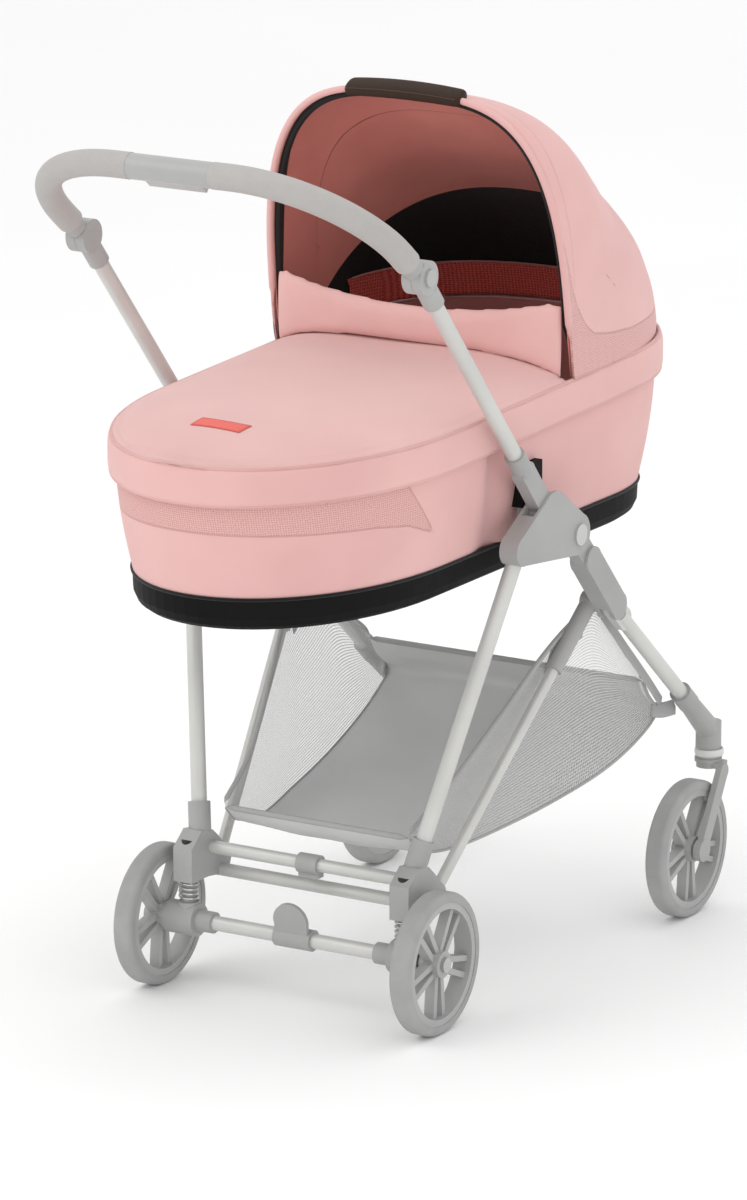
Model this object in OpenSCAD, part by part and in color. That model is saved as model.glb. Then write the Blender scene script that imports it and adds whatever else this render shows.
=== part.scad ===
// Four-wheeled stroller: folding tube chassis, carrycot with hood, and sling basket.
// X is sideways, Y points forward and Z up. Positions along Y are measured from the rear
// axle; stand() then moves the whole stroller so that its origin is under its middle.

/* [Wheels] */
// Outer radius of the tyres
wheel_r = 86; // [80:1:90]
// Width of a tyre
tyre_w = 26; // [22:1:28]
// Radial thickness of a tyre
tyre_t = 12; // [9:1:15]
// Number of double spokes in a rim
spokes = 5; // [4:1:6]
// Sideways distance from the middle to a rear wheel
rear_track = 191; // [189:1:200]
// Sideways distance from the middle to a front wheel
front_track = 221; // [219:1:226]
// Distance from the rear axle to the front swivel axis
swivel_y = 616; // [606:1:630]
// Distance that a front wheel trails behind its swivel axis
trail = 54; // [46:1:60]
// Radius of the axles
axle_r = 5; // [4:0.5:6]
// Travel of the rear suspension
sprung_travel = 16; // [8:1:20]

/* [Frame] */
// Radius of the frame tubes
tube_r = 9.5; // [8:0.5:10.5]
// Wall thickness of the frame tubes
tube_wall = 1.6; // [1.2:0.2:2.4]
// Sideways distance from the middle to the handle tubes
frame_x = 226; // [226:1:236]
// Distance of the folding hub in front of the rear axle
hub_y = 197; // [187:1:207]
// Height of the folding hub
hub_z = 588; // [580:1:600]
// Width of the folding hub
hub_w = 24; // [22:1:28]
// Radius of the folding hub's plates around its pin
hub_r = 31; // [28:1:34]
// Radius of the folding hub's pin
hub_pin_r = 8; // [6:1:10]
// Distance of the front leg's knee in front of the rear axle
knee_y = 356; // [346:1:366]
// Height of the front leg's knee
knee_z = 444; // [434:1:454]
// Radius of the knee
knee_r = 17; // [15:1:19]
// Sideways distance from the middle to the rear feet
foot_x = 150; // [148:1:153]

/* [Handle] */
// Distance of the handle's knuckles in front of the rear axle
knuckle_y = -96; // [-106:1:-86]
// Height of the handle's knuckles
knuckle_z = 928; // [910:1:940]
// Radius of a knuckle
knuckle_r = 20; // [18:1:22]
// Length of the push bar from its knuckles to its middle
bar_reach = 205; // [195:1:215]
// Slope of the push bar above the horizontal
bar_slope = 38; // [32:1:45]
// Radius of the bends in the push bar
bar_bend_r = 150; // [130:1:160]
// Outer radius of the grip
grip_r = 15.5; // [14:0.5:17]

/* [Carrycot] */
// Length of the carrycot over its rim
cot_l = 893; // [870:1:893]
// Half of the carrycot's width at its foot end
cot_foot_w = 205; // [196:1:206]
// Half of the carrycot's width at its head end
cot_head_w = 212; // [202:1:213]
// Distance of the carrycot's foot end in front of the rear axle
cot_foot_y = -254; // [-256:1:-234]
// Height of the rim's top edge at the hood's front bow
rim_z = 730; // [728:1:745]
// Height of the rim band
rim_h = 46; // [38:1:52]
// Height of the carrycot's underside
tray_z = 518; // [514:1:526]
// Height of the hard tray
tray_h = 38; // [30:1:44]
// Thickness of the hard tray
tray_t = 3; // [2:0.5:4]
// Thickness of the mattress
mattress_t = 62; // [40:1:75]
// Thickness of the carrycot's padded wall
wall_t = 12; // [9:1:16]
// Rise of the apron's dome above the rim
apron_h = 26; // [18:1:34]
// Height of the wind flap above the rim
flap_h = 100; // [80:1:110]

/* [Hood] */
// Distance of the hood's pivot in front of the rear axle
hood_y = 385; // [375:1:395]
// Height of the hood's pivot
hood_z = 761; // [757:1:770]
// Height of the hood's top above its pivot
hood_top = 296; // [270:1:305]
// Thickness of a canopy panel
canopy_t = 4; // [3:0.5:5]

/* [Basket] */
// Length of the basket's floor
basket_l = 490; // [470:1:500]
// Half of the basket's width at its front edge
basket_front_w = 195; // [185:1:198]
// Half of the basket's width at its rear edge
basket_rear_w = 128; // [120:1:130]
// Thickness of the basket's fabric
basket_t = 3; // [2:0.5:4]

/* [Hidden] */
$fn = 64;
LEFT = -1;
RIGHT = 1;
CLEAR = 0.05;             // running clearance around pins, radially
GAP = 0.3;                // gap beside faces that slide or that are soft
STEP = 0.5;               // shallow step where a flat side meets a round end
PLASTIC = [0.66, 0.66, 0.65];
SILVER = [0.79, 0.79, 0.78];
RUBBER = [0.62, 0.62, 0.61];
LEATHER = [0.69, 0.67, 0.66];
PINK = [0.90, 0.70, 0.69];
KNIT = [0.84, 0.65, 0.64];
DARK = [0.11, 0.11, 0.11];
MESH = [0.62, 0.62, 0.61];

front_wheel_y = swivel_y - trail;
length_front = front_wheel_y + wheel_r;
bar_top_y = knuckle_y - bar_reach * cos(bar_slope);
length_rear = bar_top_y + -grip_r;
mid_y = (length_front + min(length_rear, cot_foot_y)) / 2;

hub_in = frame_x - hub_w / 2;
hub_out = frame_x + hub_w / 2;
plate_t = 4;
hub = [frame_x, hub_y, hub_z];
hub_cap_at = [frame_x, hub_y + 59, hub_z - 34];
hub_rear_at = [frame_x, hub_y - 72, hub_z - 26];
hub_cap_r = 25;
hub_rear_r = 18;
knee = [frame_x, knee_y, knee_z];
knee_pin_r = 6;
arm_tongue_r = 15;
knuckle = [frame_x, knuckle_y, knuckle_z];
ferrule = knuckle + 48 * unit(hub - knuckle);
neck_l = 84;

leg_end = [frame_x, knee_y + 195, knee_z - 167];
swivel = [front_track, swivel_y, wheel_r];
swivel_pin_r = 6;
stem_low = 2 * wheel_r + 18;
stem_high = stem_low + 46;
stem_r = 16;
collar_h = 12;
fork_in = front_track + tyre_w / 2 + 4;
fork_t = 8;

foot_low = wheel_r + 48;
foot_high = wheel_r + 112;
foot_w = 26;
rear_leg_low = [foot_x, 26, foot_high - 4];
rear_leg_top = hub_rear_at + [0, 4, -4];
housing_h = 40;
plunger_r = 8;
upper_bar_at = [33, wheel_r + 83];
lower_bar_at = [55, wheel_r + 49];
crossbar_r = 8;
strut_r = 7;
strut_low = [foot_x, 70, foot_low + 14];
strut_top = [frame_x - 23, knee_y - 12, knee_z + 4];
strut_top_r = 12;

cot_y1 = cot_foot_y + cot_l;
cot_tilt = 0.03;
dock_y = hub_y - 2;
dock_w = 46;
dock_low = hub_z + 12;
dock_h = 50;
tongue_w = 28;
tongue_t = 10;
tongue_h = 38;

// ---- helpers ----

function unit(v) = v / norm(v);
function mix(a, b, t) = a + (b - a) * t;
function power(v, n) = sign(v) * pow(abs(v), n);

// The two triangles of a four-sided face.
function halves(f) = [[f[0], f[1], f[2]], [f[0], f[2], f[3]]];

// Faces of a solid through rings that each have the same number of points.
function tube_faces(rings, sides) = concat(
    [for (j = [1:sides - 2]) [0, j, j + 1]],
    [for (j = [1:sides - 2], top = (rings - 1) * sides) [top, top + j + 1, top + j]],
    [for (k = [0:rings - 2], j = [0:sides - 1])
        let (a = k * sides + j, b = k * sides + (j + 1) % sides)
        each halves([a, a + sides, b + sides, b])]
);

// Faces of a skin made of two grids of points, outer then inner, with closed edges. Points
// run along each row, and rows follow each other, clockwise as seen from outside.
function skin_faces(rows, row) =
    let (size = rows * row,
         edge = concat([for (j = [0:row - 2]) j], [for (i = [0:rows - 2]) i * row + row - 1],
             [for (j = [row - 1:-1:1]) (rows - 1) * row + j], [for (i = [rows - 1:-1:1]) i * row]),
         cells = [for (i = [0:rows - 2], j = [0:row - 2])
             let (a = i * row + j) [a, a + 1, a + row + 1, a + row]])
    concat(
        [for (f = cells) each halves(f)],
        [for (f = cells) each halves([f[3] + size, f[2] + size, f[1] + size, f[0] + size])],
        [for (k = [0:len(edge) - 1]) let (p = edge[k], q = edge[(k + 1) % len(edge)])
            each halves([p, p + size, q + size, q])]
    );

// Moves what is placed from the rear axle to the stroller's own origin.
module stand() {
    translate([0, -mid_y, 0]) children();
}

// Draws a right-hand piece on the right or mirrored on the left.
module sided(side) {
    mirror([side == LEFT ? 1 : 0, 0, 0]) children();
}

module both_sides() {
    children();
    mirror([1, 0, 0]) children();
}

// Turns what points up Z to point along v, and moves it to p.
module aim(p, v) {
    translate(p) rotate([0, atan2(norm([v.x, v.y]), v.z), atan2(v.y, v.x)]) children();
}

module rod(p, q, r) {
    aim(p, q - p) cylinder(h = norm(q - p), r = r);
}

module pipe(p, q, r) {
    d = unit(q - p);
    difference() {
        rod(p, q, r);
        rod(p - d, q + d, r - tube_wall);
    }
}

// Round disc or bore across the frame, centred on the point at, from x0 to x1.
module disc(at, r, x0, x1) {
    translate([x0, at.y, at.z]) rotate([0, 90, 0]) cylinder(h = x1 - x0, r = r);
}

// Extrudes an outline drawn as (Y, Z) sideways from x0 to x1.
module across(x0, x1) {
    translate([x0, 0, 0]) rotate([90, 0, 90]) linear_extrude(x1 - x0) children();
}

// Flat bar with round ends between two points of the side view, from x0 to x1.
module link(p, q, r, x0, x1) {
    d = q - p;
    across(x0, x1) {
        for (end = [p, q]) translate([end.y, end.z]) circle(r);
        translate([p.y, p.z]) rotate(atan2(d.z, d.y))
            translate([0, STEP - r]) square([norm([d.y, d.z]), 2 * (r - STEP)]);
    }
}

// ---- wheels ----

module tyre(w) {
    ring = wheel_r - tyre_t;
    round_r = 6;
    rotate([0, 90, 0]) rotate_extrude($fn = 96) {
        translate([ring, -w / 2]) square([tyre_t - round_r, w]);
        translate([ring, -w / 2 + round_r]) square([tyre_t, w - 2 * round_r]);
        translate([wheel_r - round_r, w / 2 - round_r]) circle(round_r);
        translate([wheel_r - round_r, -w / 2 + round_r]) circle(round_r);
    }
}

// Rim with double spokes, its hub and its axle bore along X.
module rim(w) {
    ring = wheel_r - tyre_t;
    ring_t = 8;
    hub_rim_r = 16;
    spoke_w = 7;
    rotate([0, 90, 0]) difference() {
        union() {
            rotate_extrude($fn = 96) translate([ring - ring_t, -w / 2 + 1]) square([ring_t, w - 2]);
            cylinder(h = w, r = hub_rim_r, center = true);
            for (i = [0:spokes - 1], half = [-1, 1])
                rotate(i * 360 / spokes) linear_extrude(w * 0.5, center = true)
                    polygon([
                        [hub_rim_r - 4, half * 2],
                        [ring - ring_t + 1, half * 7],
                        [ring - ring_t + 1, half * (7 + spoke_w)],
                        [hub_rim_r - 4, half * (2 + spoke_w)]
                    ]);
        }
        cylinder(h = w + 2, r = axle_r + CLEAR, center = true);
    }
}

module rear_tyre(side) {
    color(RUBBER) stand() sided(side) translate([rear_track, 0, wheel_r]) tyre(tyre_w);
}

module rear_rim(side) {
    color(PLASTIC) stand() sided(side) translate([rear_track, 0, wheel_r]) rim(tyre_w);
}

module front_tyre(side) {
    color(RUBBER) stand() sided(side)
        translate([front_track, front_wheel_y, wheel_r]) tyre(tyre_w);
}

module front_rim(side) {
    color(PLASTIC) stand() sided(side)
        translate([front_track, front_wheel_y, wheel_r]) rim(tyre_w);
}

// ---- folding hub and chassis ----

// Where the line that touches the circles (p, a) and (q, b) on their left leaves them.
function left_edge(p, a, q, b) =
    let (d = [q.y - p.y, q.z - p.z], t = atan2(d.y, d.x) + acos((a - b) / norm(d)),
         n = [cos(t), sin(t)])
    [[p.y, p.z] + (a - STEP) * n, [q.y, q.z] + (b - STEP) * n];

// Side view of the hub: three round corners joined by straight sides.
module hub_outline(x0, x1) {
    corners = [[hub, hub_r], [hub_cap_at, hub_cap_r], [hub_rear_at, hub_rear_r]];
    across(x0, x1) {
        for (c = corners) translate([c[0].y, c[0].z]) circle(c[1]);
        polygon([
            for (i = [0:2]) let (c = corners[i], d = corners[(i + 1) % 3])
                each left_edge(c[0], c[1], d[0], d[1])
        ]);
    }
}

// Two plates with a solid lower part between them. The handle's root turns in the gap.
module hub_housing(side) {
    gap_in = hub_in + plate_t;
    gap_out = hub_out - plate_t;
    reach = 200;
    color(PLASTIC) stand() sided(side) difference() {
        union() {
            difference() {
                hub_outline(hub_in, hub_out);
                disc(hub, hub_r + 1, gap_in, gap_out);
                across(gap_in, gap_out) translate([hub_y, hub_z]) polygon([
                    [0, 0],
                    reach * [cos(-28), sin(-28)],
                    reach * [1, 1],
                    reach * [-1, 1],
                    reach * [cos(168), sin(168)]
                ]);
            }
            disc(hub, hub_pin_r, hub_in + 1, hub_out - 1);
        }
        link(hub_cap_at, knee, arm_tongue_r + 0.1, gap_in, gap_out);
        aim(rear_leg_top, rear_leg_low - rear_leg_top) cylinder(h = 60, r = tube_r + CLEAR);
    }
}

module hub_caps() {
    color(SILVER) stand() both_sides() disc(hub_cap_at, 13, hub_out, hub_out + 3);
}

// Flat-sided arm from the hub to the knee, slotted at the knee for the front leg.
module front_arm(side) {
    color(PLASTIC) stand() sided(side) difference() {
        union() {
            link(hub_cap_at, mix(hub_cap_at, knee, 0.5), arm_tongue_r,
                hub_in + plate_t + 0.1, hub_out - plate_t - 0.1);
            link(mix(hub_cap_at, knee, 0.36), knee, knee_r, hub_in, hub_out);
        }
        difference() {
            disc(knee, knee_r + 4, frame_x - 5.3, frame_x + 5.3);
            disc(knee, knee_pin_r, frame_x - 6, frame_x + 6);
        }
    }
}

module rear_leg(side) {
    color(SILVER) stand() sided(side) pipe(rear_leg_top, rear_leg_low, tube_r);
}

// Block at the foot of a rear leg, bored for the leg, the plunger and the crossbars.
module rear_foot(side) {
    leg_dir = unit(rear_leg_top - rear_leg_low);
    color(PLASTIC) stand() sided(side) difference() {
        union() {
            across(foot_x - foot_w / 2, foot_x + foot_w / 2) polygon([
                [-13, foot_low], [24, foot_low], [68, foot_low - 6], [76, foot_low + 12], [72, foot_low + 22],
                [46, foot_high - 18], [34, foot_high - 8], [10, foot_high - 4],
                [-13, foot_high - 22]
            ]);
            rod(rear_leg_low - 6 * leg_dir, rear_leg_low + 30 * leg_dir, tube_r + 4);
        }
        rod(rear_leg_low, rear_leg_low + 60 * leg_dir, tube_r + CLEAR);
        translate([foot_x, 0, foot_low - 8]) cylinder(h = 58, r = plunger_r + CLEAR);
        for (bar = [upper_bar_at, lower_bar_at])
            disc([0, bar.x, bar.y], crossbar_r + CLEAR, foot_x - foot_w, foot_x);
        rod(strut_low, strut_top, strut_r + CLEAR);
    }
}

module struts() {
    color(SILVER) stand() both_sides() pipe(strut_low, mix(strut_low, strut_top, 0.86), strut_r);
}

// Moulded sleeve that carries the upper end of a strut on the front arm's inner side.
module strut_sleeves() {
    dir = unit(strut_top - strut_low);
    color(PLASTIC) stand() both_sides() difference() {
        union() {
            rod(mix(strut_low, strut_top, 0.76), strut_top, 10.5);
            disc(strut_top, strut_top_r, strut_top.x - 8, hub_in);
        }
        rod(strut_low, mix(strut_low, strut_top, 0.86), strut_r + CLEAR);
    }
}

module upper_crossbar() {
    half = foot_x - CLEAR;
    at = [half, upper_bar_at.x, upper_bar_at.y];
    color(SILVER) stand() pipe([-half, at.y, at.z], at, crossbar_r);
}

module lower_crossbar() {
    half = foot_x - CLEAR;
    at = [half, lower_bar_at.x, lower_bar_at.y];
    color(SILVER) stand() pipe([-half, at.y, at.z], at, crossbar_r);
}

// Saddle round the upper crossbar's middle that the basket buttons on to.
module crossbar_clamp() {
    color(PLASTIC) stand() difference() {
        union() {
            disc([0, upper_bar_at.x, upper_bar_at.y], crossbar_r + 4, -14, 14);
            translate([-14, upper_bar_at.x - 4, upper_bar_at.y - crossbar_r - 8])
                cube([28, 12, 12]);
        }
        disc([0, upper_bar_at.x, upper_bar_at.y], crossbar_r + CLEAR, -15, 15);
    }
}

// Bracket with an upright tongue on each hub, which the carrycot's docks drop on to.
module cot_adapters() {
    tongue_x = hub_in - 14;
    color(PLASTIC) stand() both_sides() {
        translate([tongue_x - tongue_t / 2, dock_y - tongue_w / 2, dock_low - 20])
            cube([hub_in - tongue_x + tongue_t / 2, tongue_w, 19.9]);
        translate([tongue_x - tongue_t / 2, dock_y - tongue_w / 2, dock_low - 1])
            cube([tongue_t, tongue_w, tongue_h]);
    }
}

// ---- rear axle, suspension and brake ----

housing_in = foot_x - 15;
housing_out = rear_track - tyre_w / 2 - 2;

module axle_tube() {
    color(SILVER) stand() difference() {
        disc([0, 0, wheel_r], 9, -housing_in - 6, housing_in + 6);
        disc([0, 0, wheel_r], axle_r + CLEAR, -housing_in - 7, housing_in + 7);
    }
}

// Suspension housing: barrel round the axle, collar towards the middle and plunger on top.
module axle_housing(side) {
    color(PLASTIC) stand() sided(side) difference() {
        union() {
            disc([0, 0, wheel_r], 20, housing_in, housing_out);
            disc([0, 0, wheel_r], 13, housing_in - 22, housing_in + 1);
            translate([foot_x, 0, wheel_r]) cylinder(h = 22, r = 13);
            translate([foot_x, 0, wheel_r]) cylinder(h = 78, r = plunger_r);
        }
        disc([0, 0, wheel_r], axle_r + CLEAR, housing_in - 23, housing_out + 1);
        disc([0, 0, wheel_r], 9 + CLEAR, housing_in - 23, housing_in + 6);
    }
}

module axle_shaft() {
    outer = rear_track + tyre_w / 2;
    color(SILVER) stand() {
        disc([0, 0, wheel_r], axle_r, -outer - GAP, outer + GAP);
        both_sides() disc([0, 0, wheel_r], 9, outer + GAP, outer + GAP + 4);
    }
}

spring_turns = 4;
spring_wire = 1.3;
spring_mean_r = 11;
spring_low = wheel_r + 22 + spring_wire + 0.2;
spring_high = foot_low - spring_wire - 0.2;

// Ring k of a round wire that climbs from z0 to z1 in the given turns.
function coil_ring(k, count, turns, r, wire, z0, z1, sides) = [
    for (j = [0:sides - 1])
        let (a = 360 * turns * k / count, b = -360 * j / sides, d = r + wire * cos(b))
        [d * cos(a), d * sin(a), mix(z0, z1, k / count) + wire * sin(b)]
];

module suspension_springs() {
    sides = 8;
    count = spring_turns * 20;
    color(SILVER) stand() both_sides() translate([foot_x, 0, 0]) polyhedron(
        [for (k = [0:count]) each coil_ring(k, count, spring_turns, spring_mean_r,
            spring_wire, spring_low, spring_high, sides)],
        tube_faces(count + 1, sides), convexity = 10);
}

// Foot lever that hooks round the axle tube and stands up behind it.
module brake_pedal() {
    sleeve_r = 13;
    half_w = 23;
    color(PLASTIC) stand() difference() {
        union() {
            disc([0, 0, wheel_r], sleeve_r, -half_w - 2, half_w + 2);
            translate([0, -4, wheel_r]) rotate([100, 0, 0]) linear_extrude(5) {
                translate([0, 24]) circle(half_w);
                translate([-half_w + STEP, 8]) square([2 * (half_w - STEP), 16]);
            }
        }
        disc([0, 0, wheel_r], 9 + CLEAR, -half_w - 3, half_w + 3);
    }
}

// ---- front legs and casters ----

// Leg tube with a flat tang that turns in the knee.
module front_leg(side) {
    dir = unit(leg_end - knee);
    color(SILVER) stand() sided(side) difference() {
        union() {
            link(knee, knee + 36 * dir, knee_r - 3, frame_x - 5, frame_x + 5);
            rod(knee + 24 * dir, leg_end, tube_r);
        }
        disc(knee, knee_pin_r + CLEAR, frame_x - 6, frame_x + 6);
        rod(knee + 60 * dir, leg_end + dir, tube_r - tube_wall);
    }
}

// Kinked housing between the leg tube and the caster's upright stem.
module leg_housing(side) {
    dir = unit(leg_end - knee);
    stem_mid = [front_track, swivel_y, (stem_low + stem_high) / 2];
    color(PLASTIC) stand() sided(side) difference() {
        union() {
            rod(leg_end - 26 * dir, leg_end + 4 * dir, tube_r + 4);
            hull() {
                translate(leg_end + 6 * dir) sphere(tube_r + 3, $fn = 32);
                translate(stem_mid + [0, 0, 12]) sphere(stem_r - 1, $fn = 32);
            }
            translate([front_track, swivel_y, stem_low])
                cylinder(h = stem_high - stem_low, r = stem_r);
        }
        rod(knee, leg_end, tube_r + CLEAR);
        translate([front_track, swivel_y, stem_low - 1])
            cylinder(h = 40, r = swivel_pin_r + CLEAR);
    }
}

// Swivelling fork: pin, ring and collar on the swivel axis, and one arm outside the wheel.
module caster_fork(side) {
    axle = [front_track, front_wheel_y, wheel_r];
    wheel_in = front_track - tyre_w / 2;
    arm_out = fork_in + fork_t;
    color(PLASTIC) stand() sided(side) {
        translate([front_track, swivel_y, stem_low - 8])
            cylinder(h = 40, r = swivel_pin_r);
        translate([front_track, swivel_y, stem_low - 5]) cylinder(h = 4.7, r = stem_r + 1);
        translate([front_track, swivel_y, stem_low - collar_h]) cylinder(h = 9, r = stem_r - 1);
        translate([front_track, swivel_y - 11, stem_low - collar_h + 1])
            cube([fork_in + 4 - front_track, 22, 7]);
        link([0, swivel_y - 3, stem_low - collar_h - 3], axle, 10, fork_in, arm_out);
        disc(axle, 14, fork_in - 0.5, arm_out + 1);
        disc(axle, axle_r, wheel_in - GAP - 1, fork_in + 3);
        disc(axle, 8, wheel_in - GAP - 3, wheel_in - GAP);
        disc(axle, 9, front_track + tyre_w / 2 + GAP, fork_in + 1);
    }
}

// ---- handle ----

// Disc that turns on the hub's pin, with the socket for the handle tube.
module handle_root(side) {
    dir = unit(knuckle - hub);
    half = hub_w / 2 - plate_t - 0.2;
    color(PLASTIC) stand() sided(side) difference() {
        union() {
            disc(hub, hub_r - 2, frame_x - half, frame_x + half);
            link(hub, hub + neck_l * dir, 14, frame_x - half, frame_x + half);
            rod(hub + (neck_l + 2) * dir, hub + (neck_l + 34) * dir, tube_r + 3);
        }
        disc(hub, hub_pin_r + CLEAR, hub_in, hub_out);
        rod(hub + (neck_l + 6) * dir, hub + (neck_l + 36) * dir, tube_r + CLEAR);
    }
}

module handle_tube(side) {
    dir = unit(knuckle - hub);
    color(SILVER) stand() sided(side) pipe(hub + (neck_l + 6) * dir, knuckle - 20 * dir, tube_r);
}

knuckle_half = 12.5;
bar_start = knuckle_r + 1;

// Ferrule and fixed half of the angle joint. The push bar's half turns beside it.
module knuckle_lower(side) {
    dir = unit(knuckle - hub);
    color(PLASTIC) stand() sided(side) difference() {
        union() {
            rod(ferrule, knuckle - (knuckle_r - 6) * dir, tube_r + 3);
            disc(knuckle, knuckle_r, frame_x - knuckle_half, frame_x - 0.2);
        }
        rod(ferrule - dir, knuckle - 20 * dir, tube_r + CLEAR);
        disc(knuckle, knuckle_r + 0.6, frame_x - 0.2, frame_x + 20);
        disc(knuckle, 7 + CLEAR, frame_x - knuckle_half - 1, frame_x);
    }
}

bar_dir = [0, -cos(bar_slope), sin(bar_slope)];
bar_leg = bar_reach - bar_bend_r;

// Places what is drawn in the plane of the push bar: X sideways, Y away from the knuckles.
module bar_plane() {
    translate([0, knuckle_y, knuckle_z]) rotate([180 - bar_slope, 0, 0]) children();
}

// Half of a U-shaped bar of radius r, between two distances along its middle line from
// the knuckle; the line is a straight leg, a quarter bend and a straight middle.
module bar_half(r, leg0, bend0, bend1, mid_x) {
    bend_x = frame_x - bar_bend_r;
    translate([frame_x, leg0, 0]) rotate([-90, 0, 0]) cylinder(h = bar_leg - leg0, r = r);
    translate([bend_x, bar_leg, 0]) rotate(bend0)
        rotate_extrude(angle = bend1 - bend0) translate([bar_bend_r, 0]) circle(r);
    if (bend1 == 90)
        translate([mid_x, bar_reach, 0]) rotate([0, 90, 0]) cylinder(h = bend_x - mid_x, r = r);
}

module push_bar() {
    color(SILVER) stand() bar_plane() difference() {
        both_sides() bar_half(tube_r, bar_start, 0, 90, -1);
        both_sides() bar_half(tube_r - tube_wall, bar_start - 1, 0, 90, -2);
    }
}

sleeve_half = 55;

// Leather-look wrap on each side of the middle sleeve.
module bar_grip() {
    color(LEATHER) stand() bar_plane() both_sides() difference() {
        bar_half(grip_r, 36, 0, 90, sleeve_half);
        bar_half(tube_r + CLEAR, 30, 0, 90, sleeve_half - 1);
    }
}

// Smooth moulding in the middle of the bar, with a housing for the trigger underneath.
module bar_sleeve() {
    color(PLASTIC) stand() bar_plane() difference() {
        union() {
            translate([-sleeve_half, bar_reach, 0]) rotate([0, 90, 0])
                cylinder(h = 2 * sleeve_half, r = grip_r - 0.5);
            translate([-38, bar_reach - 24, -11]) cube([76, 16, 22]);
        }
        translate([-sleeve_half - 1, bar_reach, 0]) rotate([0, 90, 0])
            cylinder(h = 2 * sleeve_half + 2, r = tube_r + CLEAR);
        translate([-22.2, bar_reach - 25, -7.2]) cube([44.4, 12, 14.4]);
    }
}

// Trigger that slides up into the sleeve's housing to release the fold.
module fold_trigger() {
    color(SILVER) stand() bar_plane()
        translate([-22, bar_reach - 29, -7]) cube([44, 9, 14]);
}

// Turning half of the angle joint, with the stub that holds the push bar.
module knuckle_upper(side) {
    color(PLASTIC) stand() sided(side) difference() {
        union() {
            disc(knuckle, knuckle_r, frame_x + 0.2, frame_x + knuckle_half);
            difference() {
                rod(knuckle + 12 * bar_dir, knuckle + 35.7 * bar_dir, tube_r + 3);
                disc(knuckle, knuckle_r + 0.6, frame_x - 20, frame_x + 0.2);
            }
            disc(knuckle, 7, frame_x - knuckle_half, frame_x + 1);
        }
        rod(knuckle + bar_start * bar_dir, knuckle + 40 * bar_dir, tube_r + CLEAR);
        disc(knuckle, 10.2, frame_x + 6, frame_x + 20);
    }
}

module angle_button(side) {
    color(SILVER) stand() sided(side)
        disc(knuckle, 10, frame_x + 9.2, frame_x + knuckle_half + 3);
}

// ---- carrycot ----

// Point of the carrycot's plan outline at angle a. It is half an ellipse at the foot, a
// squarer curve at the head and straight between, and grow widens it towards the head.
function cot_point(a, w, grow, y0, y1, foot, head) =
    let (n = sin(a) > 0 ? 2.43 : 2.05, cap = sin(a) > 0 ? head : foot,
         y = (sin(a) > 0 ? y1 - head : y0 + foot) + cap * power(sin(a), 2 / n))
    [power(cos(a), 2 / n) * (w + grow * (y - y0) / (y1 - y0)), y];

// One ring of the carrycot: outline inset by d at height z, tilted as the rim is.
function cot_ring(z, d, tilt, count = 72) = [
    for (i = [0:count - 1])
        let (p = cot_point((i + 0.5) * 360 / count, cot_foot_w - d, cot_head_w - cot_foot_w,
                 cot_foot_y + d, cot_y1 - d, 289 - d, 209 - d))
        [p.x, p.y, z + tilt * (p.y - 286)]
];

// Solid through a list of rings, from the lowest to the highest.
module loft(rings) {
    polyhedron([for (ring = rings) each ring], tube_faces(len(rings), len(rings[0])),
        convexity = 6);
}

rim_low = rim_z - rim_h;
tray_top = tray_z + tray_h;
body_inset = 8;
tray_inset = 27;

module cot_shell() {
    color(PINK) stand() difference() {
        union() {
            loft([cot_ring(tray_top, tray_inset, 0), cot_ring(rim_low + 2, body_inset, cot_tilt)]);
            loft([
                cot_ring(rim_low, 3, cot_tilt), cot_ring(rim_low + 4, 0, cot_tilt),
                cot_ring(rim_z - 4, 0, cot_tilt), cot_ring(rim_z, 4, cot_tilt)
            ]);
        }
        loft([
            cot_ring(tray_top - 1, tray_inset + wall_t, 0),
            cot_ring(rim_low + 2, body_inset + wall_t, cot_tilt),
            cot_ring(rim_z + 1, wall_t + 8, cot_tilt)
        ]);
    }
}

// Hard pan under the carrycot, open at the top, that holds the mattress.
module cot_tray() {
    color(DARK) stand() difference() {
        loft([
            cot_ring(tray_z, tray_inset + 12, 0), cot_ring(tray_z + 5, tray_inset + 5, 0),
            cot_ring(tray_z + 14, tray_inset + 1, 0), cot_ring(tray_top, tray_inset, 0)
        ]);
        loft([
            cot_ring(tray_z + tray_t, tray_inset + 13, 0),
            cot_ring(tray_z + 14, tray_inset + 1 + tray_t, 0),
            cot_ring(tray_top + 1, tray_inset + tray_t, 0)
        ]);
    }
}

// Socket on each side of the carrycot, open underneath, that sits on the hub's tongue.
module cot_docks() {
    tongue_x = hub_in - 14;
    color(DARK) stand() both_sides() difference() {
        translate([tongue_x - 12, dock_y - dock_w / 2, dock_low]) cube([20, dock_w, dock_h]);
        translate([tongue_x - tongue_t / 2 - 0.1, dock_y - tongue_w / 2 - 0.1, dock_low - 1])
            cube([tongue_t + 0.2, tongue_w + 0.2, tongue_h + 1]);
    }
}

module mattress() {
    inset = tray_inset + wall_t + 4;
    base = tray_z + tray_t + GAP;
    color(PINK) stand() loft([
        cot_ring(base, inset + 3, 0), cot_ring(base + 6, inset, 0),
        cot_ring(base + mattress_t - 6, inset, 0), cot_ring(base + mattress_t, inset + 5, 0)
    ]);
}

flap_y = 270;
flap_t = 14;
apron_end = flap_y + flap_t / 2 + 6;

dome_reach = 180;
dome_flat = 0.75;

// Height of the apron above the rim where s goes from 0 at its edge to 1 at its middle line.
function dome_rise(s) = apron_h * (1 - pow(1 - min(dome_flat, max(0, s)), 4));

// Dome over the rim: rings shrink inwards as they climb, so its top is nearly flat.
module dome(drop, inset) {
    steps = [0, 0.06, 0.16, 0.3, 0.5, dome_flat];
    loft([for (s = steps)
        cot_ring(rim_z + GAP - drop + dome_rise(s), inset + s * dome_reach, cot_tilt)]);
}

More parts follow.
